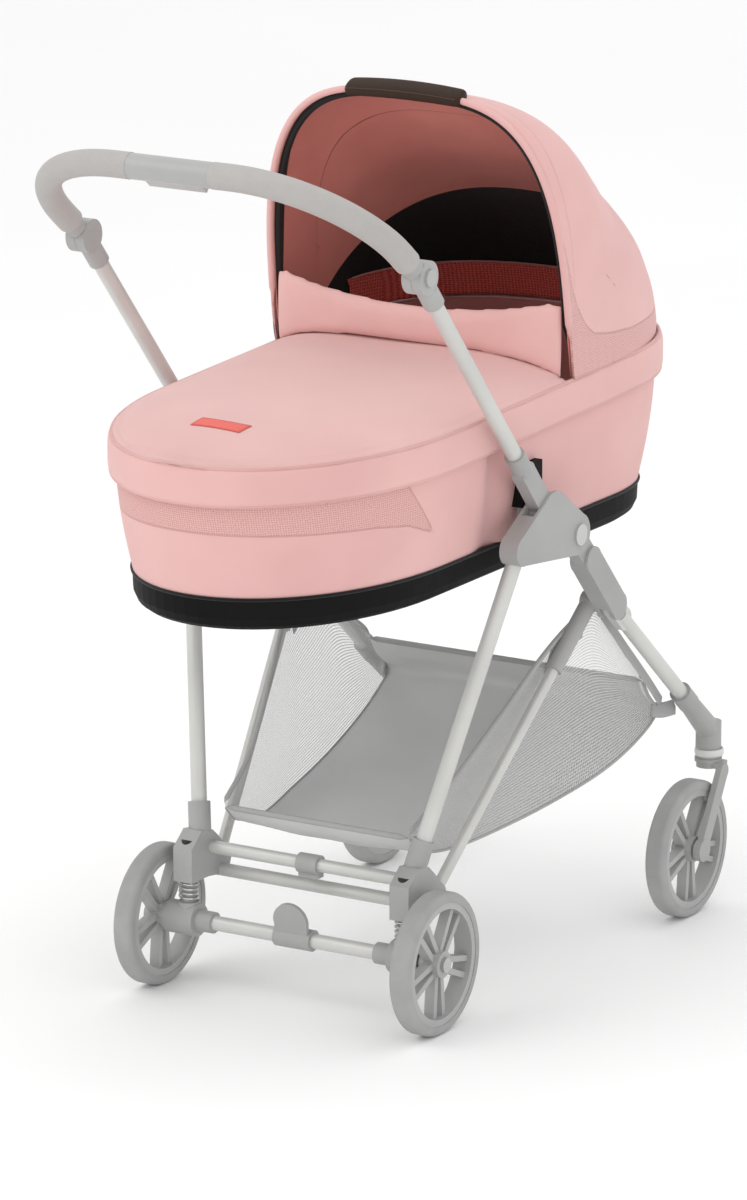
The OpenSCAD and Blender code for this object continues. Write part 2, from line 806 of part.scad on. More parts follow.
// Cover over the foot end, closed in front of the wind flap.
module apron() {
    skin = 6;
    color(PINK) stand() difference() {
        dome(0, 4);
        dome(skin, 4 + skin);
        translate([-300, apron_end, rim_z - 100]) cube([600, 600, 300]);
    }
}

flap_half = 190;

// Padded flap that stands across the mouth of the hood. Its upper edge dips in the middle.
module wind_flap() {
    count = 16;
    base = rim_z + GAP;
    xs = [for (i = [0:count]) flap_half * (2 * i / count - 1)];
    color(PINK) stand() translate([0, flap_y + flap_t / 2, 0]) rotate([90, 0, 0])
        linear_extrude(flap_t) polygon(concat(
            [for (x = xs) [x, base + GAP + dome_rise((cot_foot_w - abs(x)) / dome_reach)]],
            [for (i = [count:-1:0]) [xs[i], rim_z + flap_h - 22 * (1 - pow(xs[i] / flap_half, 2))]]
        ));
}

// ---- hood ----

hood_front_r = norm([hood_top, 135]);
hood_front_a = 114.5;
hood_back_r = cot_y1 - hood_y - 8;
arch_n = 3.4;
hood_half = cot_head_w - 5;

// Radius of the canopy's middle line from its pivot, at fan angle a from the front-rear line.
function hood_radius(a) =
    let (t = max(0, min(1, (a - 45) / (hood_front_a - 45))))
    mix(hood_back_r, hood_front_r, pow(t, 1.7));

// Fan angle of the front panel's edge at radius r: the straight front bow, and near the
// pivot the rim that the panel ends on.
function bow_angle(r) = r < 96 ? 178 + asin(min(0.9, 27 / r)) : 7.4 + acos(-95.7 / r);

// Fan angle at which the rear panel meets the rim behind the pivot.
function rim_angle(r) = 1.72 - asin(min(0.9, 27.7 / r));

// Point of the canopy where part goes from 0 to 1 between two fan angles, s is the arch
// angle and layer the depth inside the outer face.
function hood_point(a0, a1, part, s, layer) =
    let (q = power(sin(s), 2 / arch_n), low = a0 < 0 ? rim_angle(q * (hood_back_r - layer)) : a0,
         high = a1 >= hood_front_a ? bow_angle(q * hood_front_r) : a1,
         a = mix(low, high, part), r = q * (hood_radius(a) - layer))
    [(hood_half - layer) * power(cos(s), 2 / arch_n), hood_y + r * cos(a), hood_z + r * sin(a)];

// Closed panel between two fan angles, made of a grid of points and another inside it.
module canopy(a0, a1, layer) {
    across_n = 32;
    along_n = 9;
    s_low = 0.5;
    function grid(depth) = [for (i = [along_n:-1:0], j = [0:across_n])
        hood_point(a0, a1, i / along_n, 90 - (90 - s_low) * cos(180 * j / across_n), depth)];
    polyhedron(concat(grid(layer), grid(layer + canopy_t)),
        skin_faces(along_n + 1, across_n + 1), convexity = 8);
}

hood_pin_r = 5;

// Cheek around the hood's pivot on one layer.
module hood_cheeks(layer) {
    x1 = hood_half - layer;
    both_sides() disc([0, hood_y, hood_z], 22, x1 - canopy_t, x1);
}

module hood_pivot_bores() {
    both_sides() disc([0, hood_y, hood_z], hood_pin_r + CLEAR, hood_half - 60, hood_half + 5);
}

module hood_front() {
    color(PINK) stand() difference() {
        union() {
            canopy(72, hood_front_a, 0);
            hood_cheeks(0);
        }
        hood_pivot_bores();
    }
}

module hood_mid() {
    color(PINK) stand() difference() {
        union() {
            canopy(36, 78, canopy_t + 1);
            hood_cheeks(canopy_t + 1);
        }
        hood_pivot_bores();
    }
}

module hood_rear() {
    layer = 2 * (canopy_t + 1);
    color(KNIT) stand() {
        canopy(-1, 44, layer);
        hood_cheeks(layer);
        both_sides() disc([0, hood_y, hood_z], hood_pin_r, hood_half - layer - 1, hood_half - 0.5);
    }
}

// Carrying grip wrapped round the front bow's middle.
module hood_grip() {
    dir = [0, cos(hood_front_a), sin(hood_front_a)];
    at = [0, hood_y, hood_z] + (hood_front_r + 3.3) * dir;
    color([0.2, 0.16, 0.14]) stand() translate([-80, at.y, at.z])
        rotate([hood_front_a - 90, 0, 0]) translate([0, -14, -3]) cube([160, 28, 7]);
}

// ---- basket ----

// The sling's middle line seen from the side, from its rear edge to its front top edge:
// [Y, Z, half width, top edge X, top edge Y, top edge Z].
basket_line = [
    [48, 216, basket_rear_w, basket_rear_w, 46, 222],
    [80, 192, basket_rear_w + 2, basket_rear_w + 10, 118, 262],
    [150, 182, basket_rear_w + 8, 160, 200, 330],
    [240, 188, 152, 178, 268, 388],
    [330, 198, 166, 188, 322, 412],
    [420, 214, 180, 188, 370, 394],
    [basket_l, 236, 188, 190, 410, 366],
    [basket_l + 42, 262, 192, 192, 448, 340],
    [basket_l + 16, 292, basket_front_w, basket_front_w, 480, 322],
    [basket_l + 2, 312, basket_front_w, basket_front_w, basket_l, 316]
];

// Section of the sling at one point of its middle line, inset by d.
function basket_ring(p, before, after, d) =
    let (along = unit([after[0] - before[0], after[1] - before[1]]), inward = d * [-along.y, along.x],
         y = p[0] + inward.x, z = p[1] + inward.y, w = p[2] - d, tx = p[3] - d)
    [
        [-tx, p[4], p[5]], [-mix(w, tx, 0.5), mix(y, p[4], 0.5), mix(z, p[5], 0.5)],
        [-w, y, z], [-w / 3, y, z], [w / 3, y, z], [w, y, z],
        [mix(w, tx, 0.5), mix(y, p[4], 0.5), mix(z, p[5], 0.5)], [tx, p[4], p[5]]
    ];

module basket() {
    last = len(basket_line) - 1;
    function grid(d) = [for (i = [0:last])
        each basket_ring(basket_line[i], basket_line[max(0, i - 1)],
            basket_line[min(last, i + 1)], d)];
    color(MESH) stand() polyhedron(concat(grid(0), grid(basket_t)), skin_faces(last + 1, 8),
        convexity = 8);
}

// ---- the stroller ----

hub_housing(LEFT);  // hub_housing_left
hub_housing(RIGHT);  // hub_housing_right
hub_caps();
front_arm(LEFT);  // front_arm_left
front_arm(RIGHT);  // front_arm_right
rear_leg(LEFT);  // rear_leg_left
rear_leg(RIGHT);  // rear_leg_right
rear_foot(LEFT);  // rear_foot_left
rear_foot(RIGHT);  // rear_foot_right
struts();
strut_sleeves();
upper_crossbar();
lower_crossbar();
crossbar_clamp();
basket();
cot_adapters();
axle_tube();
axle_housing(LEFT);  // axle_housing_left
axle_housing(RIGHT);  // axle_housing_right
axle_shaft();
suspension_springs();
brake_pedal();
rear_tyre(LEFT);  // rear_tyre_left
rear_tyre(RIGHT);  // rear_tyre_right
rear_rim(LEFT);  // rear_rim_left
rear_rim(RIGHT);  // rear_rim_right
handle_root(LEFT);  // handle_root_left
handle_root(RIGHT);  // handle_root_right
handle_tube(LEFT);  // handle_tube_left
handle_tube(RIGHT);  // handle_tube_right
knuckle_lower(LEFT);  // knuckle_lower_left
knuckle_lower(RIGHT);  // knuckle_lower_right
push_bar();
bar_grip();
bar_sleeve();
knuckle_upper(LEFT);  // knuckle_upper_left
knuckle_upper(RIGHT);  // knuckle_upper_right
fold_trigger();
angle_button(LEFT);  // angle_button_left
angle_button(RIGHT);  // angle_button_right
front_leg(LEFT);  // front_leg_left
front_leg(RIGHT);  // front_leg_right
leg_housing(LEFT);  // leg_housing_left
leg_housing(RIGHT);  // leg_housing_right
caster_fork(LEFT);  // caster_fork_left
caster_fork(RIGHT);  // caster_fork_right
front_tyre(LEFT);  // front_tyre_left
front_tyre(RIGHT);  // front_tyre_right
front_rim(LEFT);  // front_rim_left
front_rim(RIGHT);  // front_rim_right
cot_shell();
cot_tray();
cot_docks();
mattress();
apron();
wind_flap();
hood_front();
hood_mid();
hood_rear();
hood_grip();
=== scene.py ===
import math

import bmesh
import bpy
import numpy as np
from mathutils import Matrix, Vector


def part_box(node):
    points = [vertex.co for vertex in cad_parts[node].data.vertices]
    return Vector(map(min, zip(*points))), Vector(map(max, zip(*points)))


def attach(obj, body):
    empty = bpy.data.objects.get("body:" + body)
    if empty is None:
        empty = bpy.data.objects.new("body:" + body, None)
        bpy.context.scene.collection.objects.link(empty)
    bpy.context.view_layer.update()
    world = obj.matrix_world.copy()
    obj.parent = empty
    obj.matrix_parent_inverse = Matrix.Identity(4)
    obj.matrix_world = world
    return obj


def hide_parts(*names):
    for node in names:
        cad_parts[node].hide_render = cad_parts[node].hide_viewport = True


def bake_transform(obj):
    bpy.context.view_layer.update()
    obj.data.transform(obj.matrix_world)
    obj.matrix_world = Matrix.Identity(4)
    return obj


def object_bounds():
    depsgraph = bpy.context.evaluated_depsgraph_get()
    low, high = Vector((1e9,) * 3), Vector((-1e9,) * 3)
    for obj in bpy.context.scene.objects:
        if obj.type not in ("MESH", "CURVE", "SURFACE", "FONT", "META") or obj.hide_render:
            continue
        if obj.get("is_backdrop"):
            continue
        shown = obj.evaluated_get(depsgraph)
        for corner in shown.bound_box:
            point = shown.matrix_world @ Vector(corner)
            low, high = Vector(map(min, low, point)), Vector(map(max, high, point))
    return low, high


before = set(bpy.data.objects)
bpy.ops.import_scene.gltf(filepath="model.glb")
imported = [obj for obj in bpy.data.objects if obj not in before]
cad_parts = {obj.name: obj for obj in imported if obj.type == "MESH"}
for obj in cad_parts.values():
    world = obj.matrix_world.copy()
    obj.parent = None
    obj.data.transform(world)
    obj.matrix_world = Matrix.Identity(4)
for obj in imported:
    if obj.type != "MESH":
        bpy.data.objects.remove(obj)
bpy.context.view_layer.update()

# ---- camera, light and floor ----
# The stroller stands on a pale studio floor under a wide soft light. Places are measured
# from the middle of the rear axle, which the frame holds at axle_y.

low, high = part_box("axle_shaft")
axle_y = (low.y + high.y) / 2
scene = bpy.context.scene
scene.view_settings.view_transform = "Standard"

turn, tilt = 0.54095, 0.25834
camera = bpy.data.objects.new("camera", bpy.data.cameras.new("camera"))
scene.collection.objects.link(camera)
scene.camera = camera
back = Vector((math.sin(turn) * math.cos(tilt), -math.cos(turn) * math.cos(tilt), math.sin(tilt)))
right = Vector((math.cos(turn), math.sin(turn), 0))
camera.matrix_world = Matrix.Translation((4.1011, -6.6480 + axle_y, 2.5636)) @ Matrix(
    (right, back.cross(right), back)).transposed().to_4x4()
camera.data.sensor_width = 36
camera.data.lens = 207.33
camera.data.clip_end = 60


def softbox(name, place, target, size, power, colour):
    """Square area light at a place, turned towards a target."""
    light = bpy.data.lights.new(name, "AREA")
    light.size, light.energy, light.color = size, power, colour
    lamp = bpy.data.objects.new(name, light)
    lamp.location = place
    lamp.rotation_euler = (Vector(target) - Vector(place)).to_track_quat("-Z", "Y").to_euler()
    scene.collection.objects.link(lamp)


softbox("key", (-1.6, -2.6, 3.4), (0, 0, 0.6), 2.4, 30, (1, 0.985, 0.97))
softbox("fill", (3.4, -2.2, 1.9), (0, 0, 0.6), 2.6, 12, (0.97, 0.98, 1))
softbox("top", (0.2, 0.9, 3.8), (0, 0.1, 0.7), 2.2, 10, (1, 1, 1))
world = bpy.data.worlds.new("studio")
world.use_nodes = True
world.node_tree.nodes["Background"].inputs["Color"].default_value = (1, 1, 1, 1)
world.node_tree.nodes["Background"].inputs["Strength"].default_value = 0.98
scene.world = world


def screen(r, g, b):
    """Linear colour of a surface from its 0 to 255 screen values."""
    return tuple((c / 255 / 12.92 if c < 10.3 else ((c / 255 + 0.055) / 1.055) ** 2.4)
                 for c in (r, g, b)) + (1.0,)


def finish(name, colour, roughness, metallic=0.0, sheen=0.0, specular=0.5):
    """Material with a Principled shader, returned with its nodes, its links and the shader."""
    made = bpy.data.materials.new(name)
    made.use_nodes = True
    shader = made.node_tree.nodes["Principled BSDF"]
    shader.inputs["Base Color"].default_value = colour
    shader.inputs["Roughness"].default_value = roughness
    shader.inputs["Metallic"].default_value = metallic
    shader.inputs["Sheen Weight"].default_value = sheen
    shader.inputs["Sheen Roughness"].default_value = 0.5
    shader.inputs["Specular IOR Level"].default_value = specular
    return made, made.node_tree.nodes, made.node_tree.links, shader


def noise(nodes, links, vector, scale, detail=3.0):
    """Noise read on a vector socket; its Fac output."""
    node = nodes.new("ShaderNodeTexNoise")
    node.inputs["Scale"].default_value = scale
    node.inputs["Detail"].default_value = detail
    links.new(vector, node.inputs["Vector"])
    return node.outputs["Fac"]


def between(nodes, links, share, low_colour, high_colour, low_at=0.35, high_at=0.65):
    """Colour that goes from one tone to another as a share passes between two values."""
    ramp = nodes.new("ShaderNodeValToRGB")
    ramp.color_ramp.elements[0].position, ramp.color_ramp.elements[0].color = low_at, low_colour
    ramp.color_ramp.elements[1].position, ramp.color_ramp.elements[1].color = high_at, high_colour
    links.new(share, ramp.inputs["Fac"])
    return ramp.outputs["Color"]


def number(nodes, links, operation, a, b):
    """Result of a Math node on two sockets or numbers."""
    node = nodes.new("ShaderNodeMath")
    node.operation = operation
    for socket, value in zip(node.inputs, (a, b)):
        if isinstance(value, (int, float)):
            socket.default_value = value
        else:
            links.new(value, socket)
    return node.outputs[0]


def raised(nodes, links, height, distance, shader, strength=1.0):
    """Bump of a height socket, a distance in metres, on the shader's normal."""
    node = nodes.new("ShaderNodeBump")
    node.inputs["Distance"].default_value = distance
    node.inputs["Strength"].default_value = strength
    links.new(height, node.inputs["Height"])
    links.new(node.outputs["Normal"], shader.inputs["Normal"])
    return node


def mottled(name, dark, light, roughness, metallic=0.0, grain=700.0, depth=0.0002, drift=9.0,
            specular=0.5):
    """Finish whose colour drifts between two tones and whose surface has a fine grain."""
    made, nodes, links, shader = finish(name, light, roughness, metallic, specular=specular)
    where = nodes.new("ShaderNodeTexCoord").outputs["Object"]
    links.new(between(nodes, links, noise(nodes, links, where, drift), dark, light),
              shader.inputs["Base Color"])
    raised(nodes, links, noise(nodes, links, where, grain, 2.0), depth, shader)
    worn = nodes.new("ShaderNodeMapRange")
    worn.inputs["To Min"].default_value = roughness - 0.06
    worn.inputs["To Max"].default_value = roughness + 0.06
    links.new(noise(nodes, links, where, 60.0), worn.inputs["Value"])
    links.new(worn.outputs["Result"], shader.inputs["Roughness"])
    return made


floor_mesh = bpy.data.meshes.new("floor")
floor_mesh.from_pydata([(-30, -30, 0), (30, -30, 0), (30, 30, 0), (-30, 30, 0)], [], [(0, 1, 2, 3)])
floor = bpy.data.objects.new("floor", floor_mesh)
scene.collection.objects.link(floor)
floor.data.materials.append(mottled("studio_floor", screen(250, 250, 250), screen(253, 253, 253),
                                    0.8, grain=40.0, depth=0.0001, drift=0.6, specular=0.1))
floor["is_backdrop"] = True


def coat(material, *names):
    """The frame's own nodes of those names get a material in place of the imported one."""
    for name in names:
        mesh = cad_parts[name].data
        mesh.materials.clear()
        mesh.materials.append(material)


def pair(*names):
    """Left and right node names from names without their side."""
    return [f"{name}_{side}" for name in names for side in ("left", "right")]


# ---- rear axle, suspension and brake ----
# Steel shaft through two grey moulded housings that slide on the feet's plungers over bright
# coil springs. The brake pedal is one moulded tab on a sleeve round the axle tube.

moulding = mottled("grey_moulding", screen(157, 157, 156), screen(166, 166, 164), 0.52,
                   grain=900.0, depth=0.00015)
tube_alloy = mottled("anodised_tube", screen(198, 198, 195), screen(207, 207, 203), 0.42,
                     metallic=0.25, grain=1400.0, depth=0.00005)
bright_steel = mottled("bright_steel", screen(176, 176, 176), screen(205, 205, 205), 0.28,
                       metallic=0.9, grain=1600.0, depth=0.00004)
coat(moulding, *pair("axle_housing"), "brake_pedal")
coat(tube_alloy, "axle_tube")
coat(bright_steel, "axle_shaft", "suspension_springs")

# ---- wheels ----
# Foam-filled tyres on five-spoke moulded rims, four of one size. The tyre is dull and a shade
# darker where it runs; the rim has a fine spark grain.

tyre_foam = mottled("foam_tyre", screen(157, 157, 157), screen(165, 165, 164), 0.78,
                    grain=500.0, depth=0.0003, drift=25.0, specular=0.3)
rim_moulding = mottled("rim_moulding", screen(163, 163, 163), screen(172, 172, 171), 0.5,
                       grain=1100.0, depth=0.0001)
coat(tyre_foam, *pair("rear_tyre", "front_tyre"))
coat(rim_moulding, *pair("rear_rim", "front_rim"))

# ---- frame ----
# Anodised tubes held in grey moulded joints: hubs, feet, sleeves on the struts and the
# housings over the front swivels. The hub's round cap is a lighter satin disc.

coat(moulding, *pair("hub_housing", "front_arm", "rear_foot", "leg_housing", "caster_fork"),
     "strut_sleeves", "crossbar_clamp", "cot_adapters")
coat(tube_alloy, *pair("rear_leg", "front_leg"), "struts", "upper_crossbar", "lower_crossbar")
coat(mottled("satin_cap", screen(186, 186, 184), screen(198, 198, 196), 0.34, metallic=0.5,
             grain=1500.0, depth=0.00004), "hub_caps")

# ---- basket ----
# Sling of plain grey cloth for its floor and front wall, with see-through net sides. Tape
# binds every edge, and its upper corners are sewn round the frame's arms and rear feet.

basket_line = np.array([
    (48, 216, 128, 128, 46, 222), (80, 192, 130, 138, 118, 262), (150, 182, 136, 160, 200, 330),
    (240, 188, 152, 180, 268, 392), (330, 198, 166, 190, 322, 424), (420, 214, 180, 197, 362, 438),
    (490, 236, 188, 198, 408, 396), (532, 262, 192, 198, 452, 352), (506, 292, 195, 197, 484, 328),
    (492, 312, 195, 195, 490, 316)]) / 1000


def smooth_line(points, count):
    """Points on a curve through the given ones: between two neighbours it is the cubic whose
    slope at each is half the step from the point before to the point after."""
    padded = np.vstack([2 * points[:1] - points[1:2], points, 2 * points[-1:] - points[-2:-1]])
    t = np.linspace(0, len(points) - 1 - 1e-9, count)
    k, f = t.astype(int), (t % 1)[:, None]
    a, b, c, d = (padded[k + n] for n in range(4))
    return b + f * (c - a) / 2 + f ** 2 * (a - 2.5 * b + 2 * c - d / 2) + f ** 3 * (
        1.5 * (b - c) + (d - a) / 2)


def cloth_piece(name, points, material, across=False, along=False, **values):
    """Piece with a quad between each four neighbours of a grid of points measured from the
    axle. across joins each row's ends, along joins the first and last rows. Its UV map holds
    the mean distances in metres, and each value becomes an attribute of its points."""
    rows, columns = points.shape[:2]
    i, j = np.meshgrid(np.arange(rows if along else rows - 1),
                       np.arange(columns if across else columns - 1), indexing="ij")
    corners = np.stack([i, i, i + 1, i + 1], -1).reshape(-1, 4)
    sides = np.stack([j, j + 1, j + 1, j], -1).reshape(-1, 4)
    mesh = bpy.data.meshes.new(name)
    placed = points.reshape(-1, 3) + (0, axle_y, 0)
    mesh.from_pydata(placed, [], (corners % rows) * columns + sides % columns)
    looped = np.concatenate([points, points[:, :1]], 1)
    steps = np.linalg.norm(np.diff(looped, axis=1), axis=2).mean(0)
    u = np.concatenate([[0], np.cumsum(steps)])
    looped = np.concatenate([points, points[:1]], 0)
    steps = np.linalg.norm(np.diff(looped, axis=0), axis=2).mean(1)
    v = np.concatenate([[0], np.cumsum(steps)])
    layer = mesh.uv_layers.new(name="UVMap")
    layer.data.foreach_set("uv", np.stack([u[sides], v[corners]], -1).ravel().astype(np.float32))
    for key, value in values.items():
        mesh.attributes.new(key, "FLOAT", "POINT").data.foreach_set(
            "value", np.broadcast_to(value, (rows, columns)).ravel().astype(np.float32))
    mesh.polygons.foreach_set("use_smooth", np.ones(len(mesh.polygons), bool))
    mesh.materials.append(material)
    piece = bpy.data.objects.new(name, mesh)
    scene.collection.objects.link(piece)
    return piece


def walled(piece, thickness, offset=-1.0):
    """The piece's sheet gets a thickness behind its face."""
    wall = piece.modifiers.new("wall", "SOLIDIFY")
    wall.thickness, wall.offset = thickness, offset
    return piece


def mended(mesh, weld=0.0, open_sides=None, outward=False):
    """The mesh's points closer than weld are joined, its open rings of up to open_sides edges
    (0 for any) are closed, and its faces are turned outward."""
    work = bmesh.new()
    work.from_mesh(mesh)
    if weld:
        bmesh.ops.remove_doubles(work, verts=work.verts, dist=weld)
    if open_sides is not None:
        rims = [e for e in work.edges if e.is_boundary]
        bmesh.ops.holes_fill(work, edges=rims, sides=open_sides)
    if outward:
        bmesh.ops.recalc_face_normals(work, faces=work.faces)
    work.to_mesh(mesh)
    work.free()


def sewn_tube(name, path, radius, material, closed=False, flat=1.0, sides=10, up=(0, 0, 1)):
    """Tube along a path. Each ring is square to the path, radius wide towards up and flat
    times that across; an open tube's ends shrink to a point."""
    path = np.asarray(path, float)
    if closed:
        tangent = np.roll(path, -1, 0) - np.roll(path, 1, 0)
    else:
        tangent = np.gradient(path, axis=0)
    tangent /= np.linalg.norm(tangent, axis=1)[:, None]
    side = np.cross(tangent, up)
    side /= np.linalg.norm(side, axis=1)[:, None]
    rise = np.cross(side, tangent)
    angle = np.linspace(0, 2 * math.pi, sides, endpoint=False)[None, :, None]
    girth = np.full((len(path), 1, 1), radius)
    if not closed:
        girth[[0, -1]] = radius * 0.02
    rings = path[:, None] + girth * (np.cos(angle) * flat * side[:, None]
                                     + np.sin(angle) * rise[:, None])
    piece = cloth_piece(name, rings[:, ::-1], material, across=True, along=closed)
    if not closed:
        mended(piece.data, open_sides=sides)
    return piece


def woven(name, dark, light, pitch, roughness=0.82, sheen=0.15, depth=0.00012, drift=5.0):
    """Plain weave: two sets of threads of one pitch cross on the piece's UV map in metres,
    and the cloth's colour drifts between two tones."""
    made, nodes, links, shader = finish(name, light, roughness, sheen=sheen, specular=0.25)
    place = nodes.new("ShaderNodeTexCoord")
    tone = between(nodes, links, noise(nodes, links, place.outputs["Object"], drift), dark, light)
    links.new(tone, shader.inputs["Base Color"])
    bump = raised(nodes, links, tone, depth, shader)
    links.new(threads(nodes, links, pitch), bump.inputs["Height"])
    return made


def threads(nodes, links, pitch):
    """Height of crossing threads: the greater of two waves at right angles on the UV map."""
    flat_map = nodes.new("ShaderNodeUVMap").outputs["UV"]
    waves = []
    for direction in ("X", "Y"):
        wave = nodes.new("ShaderNodeTexWave")
        wave.bands_direction = direction
        wave.inputs["Scale"].default_value = 0.314 / pitch
        wave.inputs["Distortion"].default_value = 0.4
        links.new(flat_map, wave.inputs["Vector"])
        waves.append(wave.outputs["Fac"])
    return number(nodes, links, "MAXIMUM", *waves)


basket_cloth = woven("basket_cloth", screen(216, 216, 216), screen(224, 224, 223), 0.0012)
basket_tape = woven("basket_tape", screen(168, 168, 168), screen(177, 177, 176), 0.0016)

net_weave, nodes, links, shader = finish("net_weave", screen(172, 172, 171), 0.7, sheen=0.1)
holes = threads(nodes, links, 0.0026)
links.new(between(nodes, links, holes, screen(184, 184, 184), screen(200, 200, 199), 0.5, 0.95),
          shader.inputs["Base Color"])
window = nodes.new("ShaderNodeMapRange")
window.inputs["From Min"].default_value, window.inputs["From Max"].default_value = 0.72, 0.9
window.inputs["To Min"].default_value = 0.08
links.new(holes, window.inputs["Value"])
links.new(window.outputs["Result"], shader.inputs["Alpha"])
raised(nodes, links, holes, 0.0003, shader)

sling = smooth_line(basket_line, 91)
t = np.linspace(0, 1, 91)[:, None]
x = np.linspace(-1, 1, 61)[None, :]
floor_w = sling[:, 2:3] * np.ones_like(x)
sag = 0.012 * np.sin(math.pi * np.clip(t / 0.75, 0, 1)) * (1 - x ** 2)
ripple = 0.0016 * np.sin(9 * x + 5 * t * math.pi) * np.sin(math.pi * t) * (1 - x ** 4)
sling_floor = np.stack([floor_w * x, sling[:, 0:1] + 0 * x, sling[:, 1:2] - sag + ripple], -1)
front_wall = np.clip((t - 0.72) / 0.28, 0, 1)
sling_floor[..., 1] += 0.012 * np.sin(math.pi * front_wall) * (1 - x ** 2)
basket_floor = walled(cloth_piece("basket_floor", sling_floor, basket_cloth), 0.0018, 0.0)
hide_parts("basket")
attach(basket_floor, "chassis")

for side, name in ((-1, "left"), (1, "right")):
    rise = np.linspace(0, 1, 19)[None, :]
    foot = np.stack([side * sling[:, 2], sling[:, 0], sling[:, 1]], -1)[:, None]
    top = np.stack([side * sling[:, 3], sling[:, 4], sling[:, 5]], -1)[:, None]
    hollow = 0.010 * np.sin(math.pi * rise) * np.sin(math.pi * np.clip(t, 0.02, 0.98))
    net = foot + rise[..., None] * (top - foot)
    net[..., 0] -= side * hollow
    panel = cloth_piece(f"basket_net_{name}", net[:, ::-1] if side > 0 else net, net_weave)
    binding = sewn_tube(f"basket_binding_{name}", top[:, 0], 0.0034, basket_tape, flat=0.7,
                        up=(1, 0, 0))
    seam = sewn_tube(f"basket_seam_{name}", foot[:, 0], 0.0022, basket_tape, flat=0.8,
                     up=(1, 0, 0))
    corner = net[33:47, 15:] + (side * 0.0012, 0, 0)
    patch = walled(cloth_piece(f"basket_corner_{name}", corner[:, ::-1] if side > 0 else corner,
                               basket_tape), 0.0012, 0.0)
    edge_line = smooth_line(np.array([
        (side * 0.203, 0.372, 0.428), (side * 0.203, 0.430, 0.372),
        (side * 0.202, 0.490, 0.316), (side * 0.200, 0.532, 0.276)]), 40)
    edge_tape = sewn_tube(f"basket_front_tape_{name}", edge_line, 0.0065, basket_tape,
                          flat=0.18, up=(0, 1, 1))
    tab_line = smooth_line(np.array([
        (side * 0.190, 0.522, 0.268), (side * 0.200, 0.536, 0.266),
        (side * 0.209, 0.552, 0.268)]), 16)
    corner_tab = sewn_tube(f"basket_tab_{name}", tab_line, 0.0100, basket_tape, flat=0.22,
                           up=(0, 0.3, 1))
    for piece in (panel, binding, seam, patch, edge_tape, corner_tab):
        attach(piece, "chassis")

hem_line = smooth_line(np.array([(x0, sling[-1, 0], sling[-1, 1] + 0.001)
                                 for x0 in np.linspace(-0.194, 0.194, 5)]), 40)
hem = sewn_tube("basket_hem", hem_line, 0.0036, basket_tape, flat=0.7)
rear_hem = sewn_tube("basket_rear_hem", sling_floor[0][::3], 0.0036, basket_tape, flat=0.7)
for piece in (hem, rear_hem):
    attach(piece, "chassis")

# ---- stem rings ----
# A pale moulded ring lies round the foot of each front leg's stem, over the swivel, pressed on
# so that it moves with the leg.

ring_radius = 0.0168
stem_x, stem_y, stem_z = 0.2222, 0.616, 0.1975
ring_finish = mottled("pale_ring", screen(208, 208, 206), screen(216, 216, 214), 0.4)
around = np.linspace(0, 2 * math.pi, 40, endpoint=False)
for side, name in ((-1, "left"), (1, "right")):
    ring_line = np.stack([side * stem_x + ring_radius * np.cos(around),
                          stem_y + ring_radius * np.sin(around), stem_z + 0 * around], -1)
    stem_ring = sewn_tube(f"stem_ring_{name}", ring_line, 0.0048, ring_finish, closed=True,
                          flat=0.34)
    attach(stem_ring, f"leg_{name}")

# ---- handle ----
# Alloy tubes rise from moulded roots to angle knuckles, and the bar between them is sheathed
# in a stitched leather-look grip with a smooth moulded sleeve at its middle.

coat(moulding, *pair("handle_root"))
coat(tube_alloy, *pair("handle_tube"), "push_bar")
knuckle_moulding = mottled("knuckle_moulding", screen(160, 160, 159), screen(169, 169, 168), 0.46,
                           grain=1200.0, depth=0.0001)
coat(knuckle_moulding, *pair("knuckle_lower", "knuckle_upper"))
coat(mottled("button_moulding", screen(166, 166, 165), screen(174, 174, 173), 0.38, grain=1200.0,
             depth=0.00005), *pair("angle_button"), "fold_trigger", "bar_sleeve")


def hide(name, dark, light, roughness=0.58, pores=900.0, depth=0.0003, specular=0.4):
    """Leather-look finish: cells of two sizes make its creased grain, darker in the creases."""
    made, nodes, links, shader = finish(name, light, roughness, specular=specular)
    where = nodes.new("ShaderNodeTexCoord").outputs["Object"]
    cells = nodes.new("ShaderNodeTexVoronoi")
    cells.feature = "DISTANCE_TO_EDGE"
    cells.inputs["Scale"].default_value = pores
    links.new(where, cells.inputs["Vector"])
    grain = number(nodes, links, "MINIMUM", cells.outputs["Distance"], 0.35)
    soft = number(nodes, links, "MULTIPLY", noise(nodes, links, where, 45.0, 4.0), 0.25)
    relief = number(nodes, links, "ADD", grain, soft)
    links.new(between(nodes, links, relief, dark, light, 0.08, 0.35), shader.inputs["Base Color"])
    raised(nodes, links, relief, depth, shader)
    return made


coat(hide("grip_leather", screen(168, 165, 162), screen(180, 177, 174)), "bar_grip")

# ---- carrycot body ----
# Cloth side stretched between a hard black tray and a padded rim band with piping along both
# edges. A knit panel lies under the band round the foot end, and the side is pinched in where
# the frame's hub stands behind it.

coat(mottled("black_moulding", screen(9, 9, 9), screen(15, 15, 15), 0.62, grain=800.0,
             depth=0.0002, specular=0.12), "cot_tray", "cot_docks")


def blunt(wave, power):
    """A sine or cosine's size raised to a power, with its sign kept."""
    return np.sign(wave) * np.abs(wave) ** power


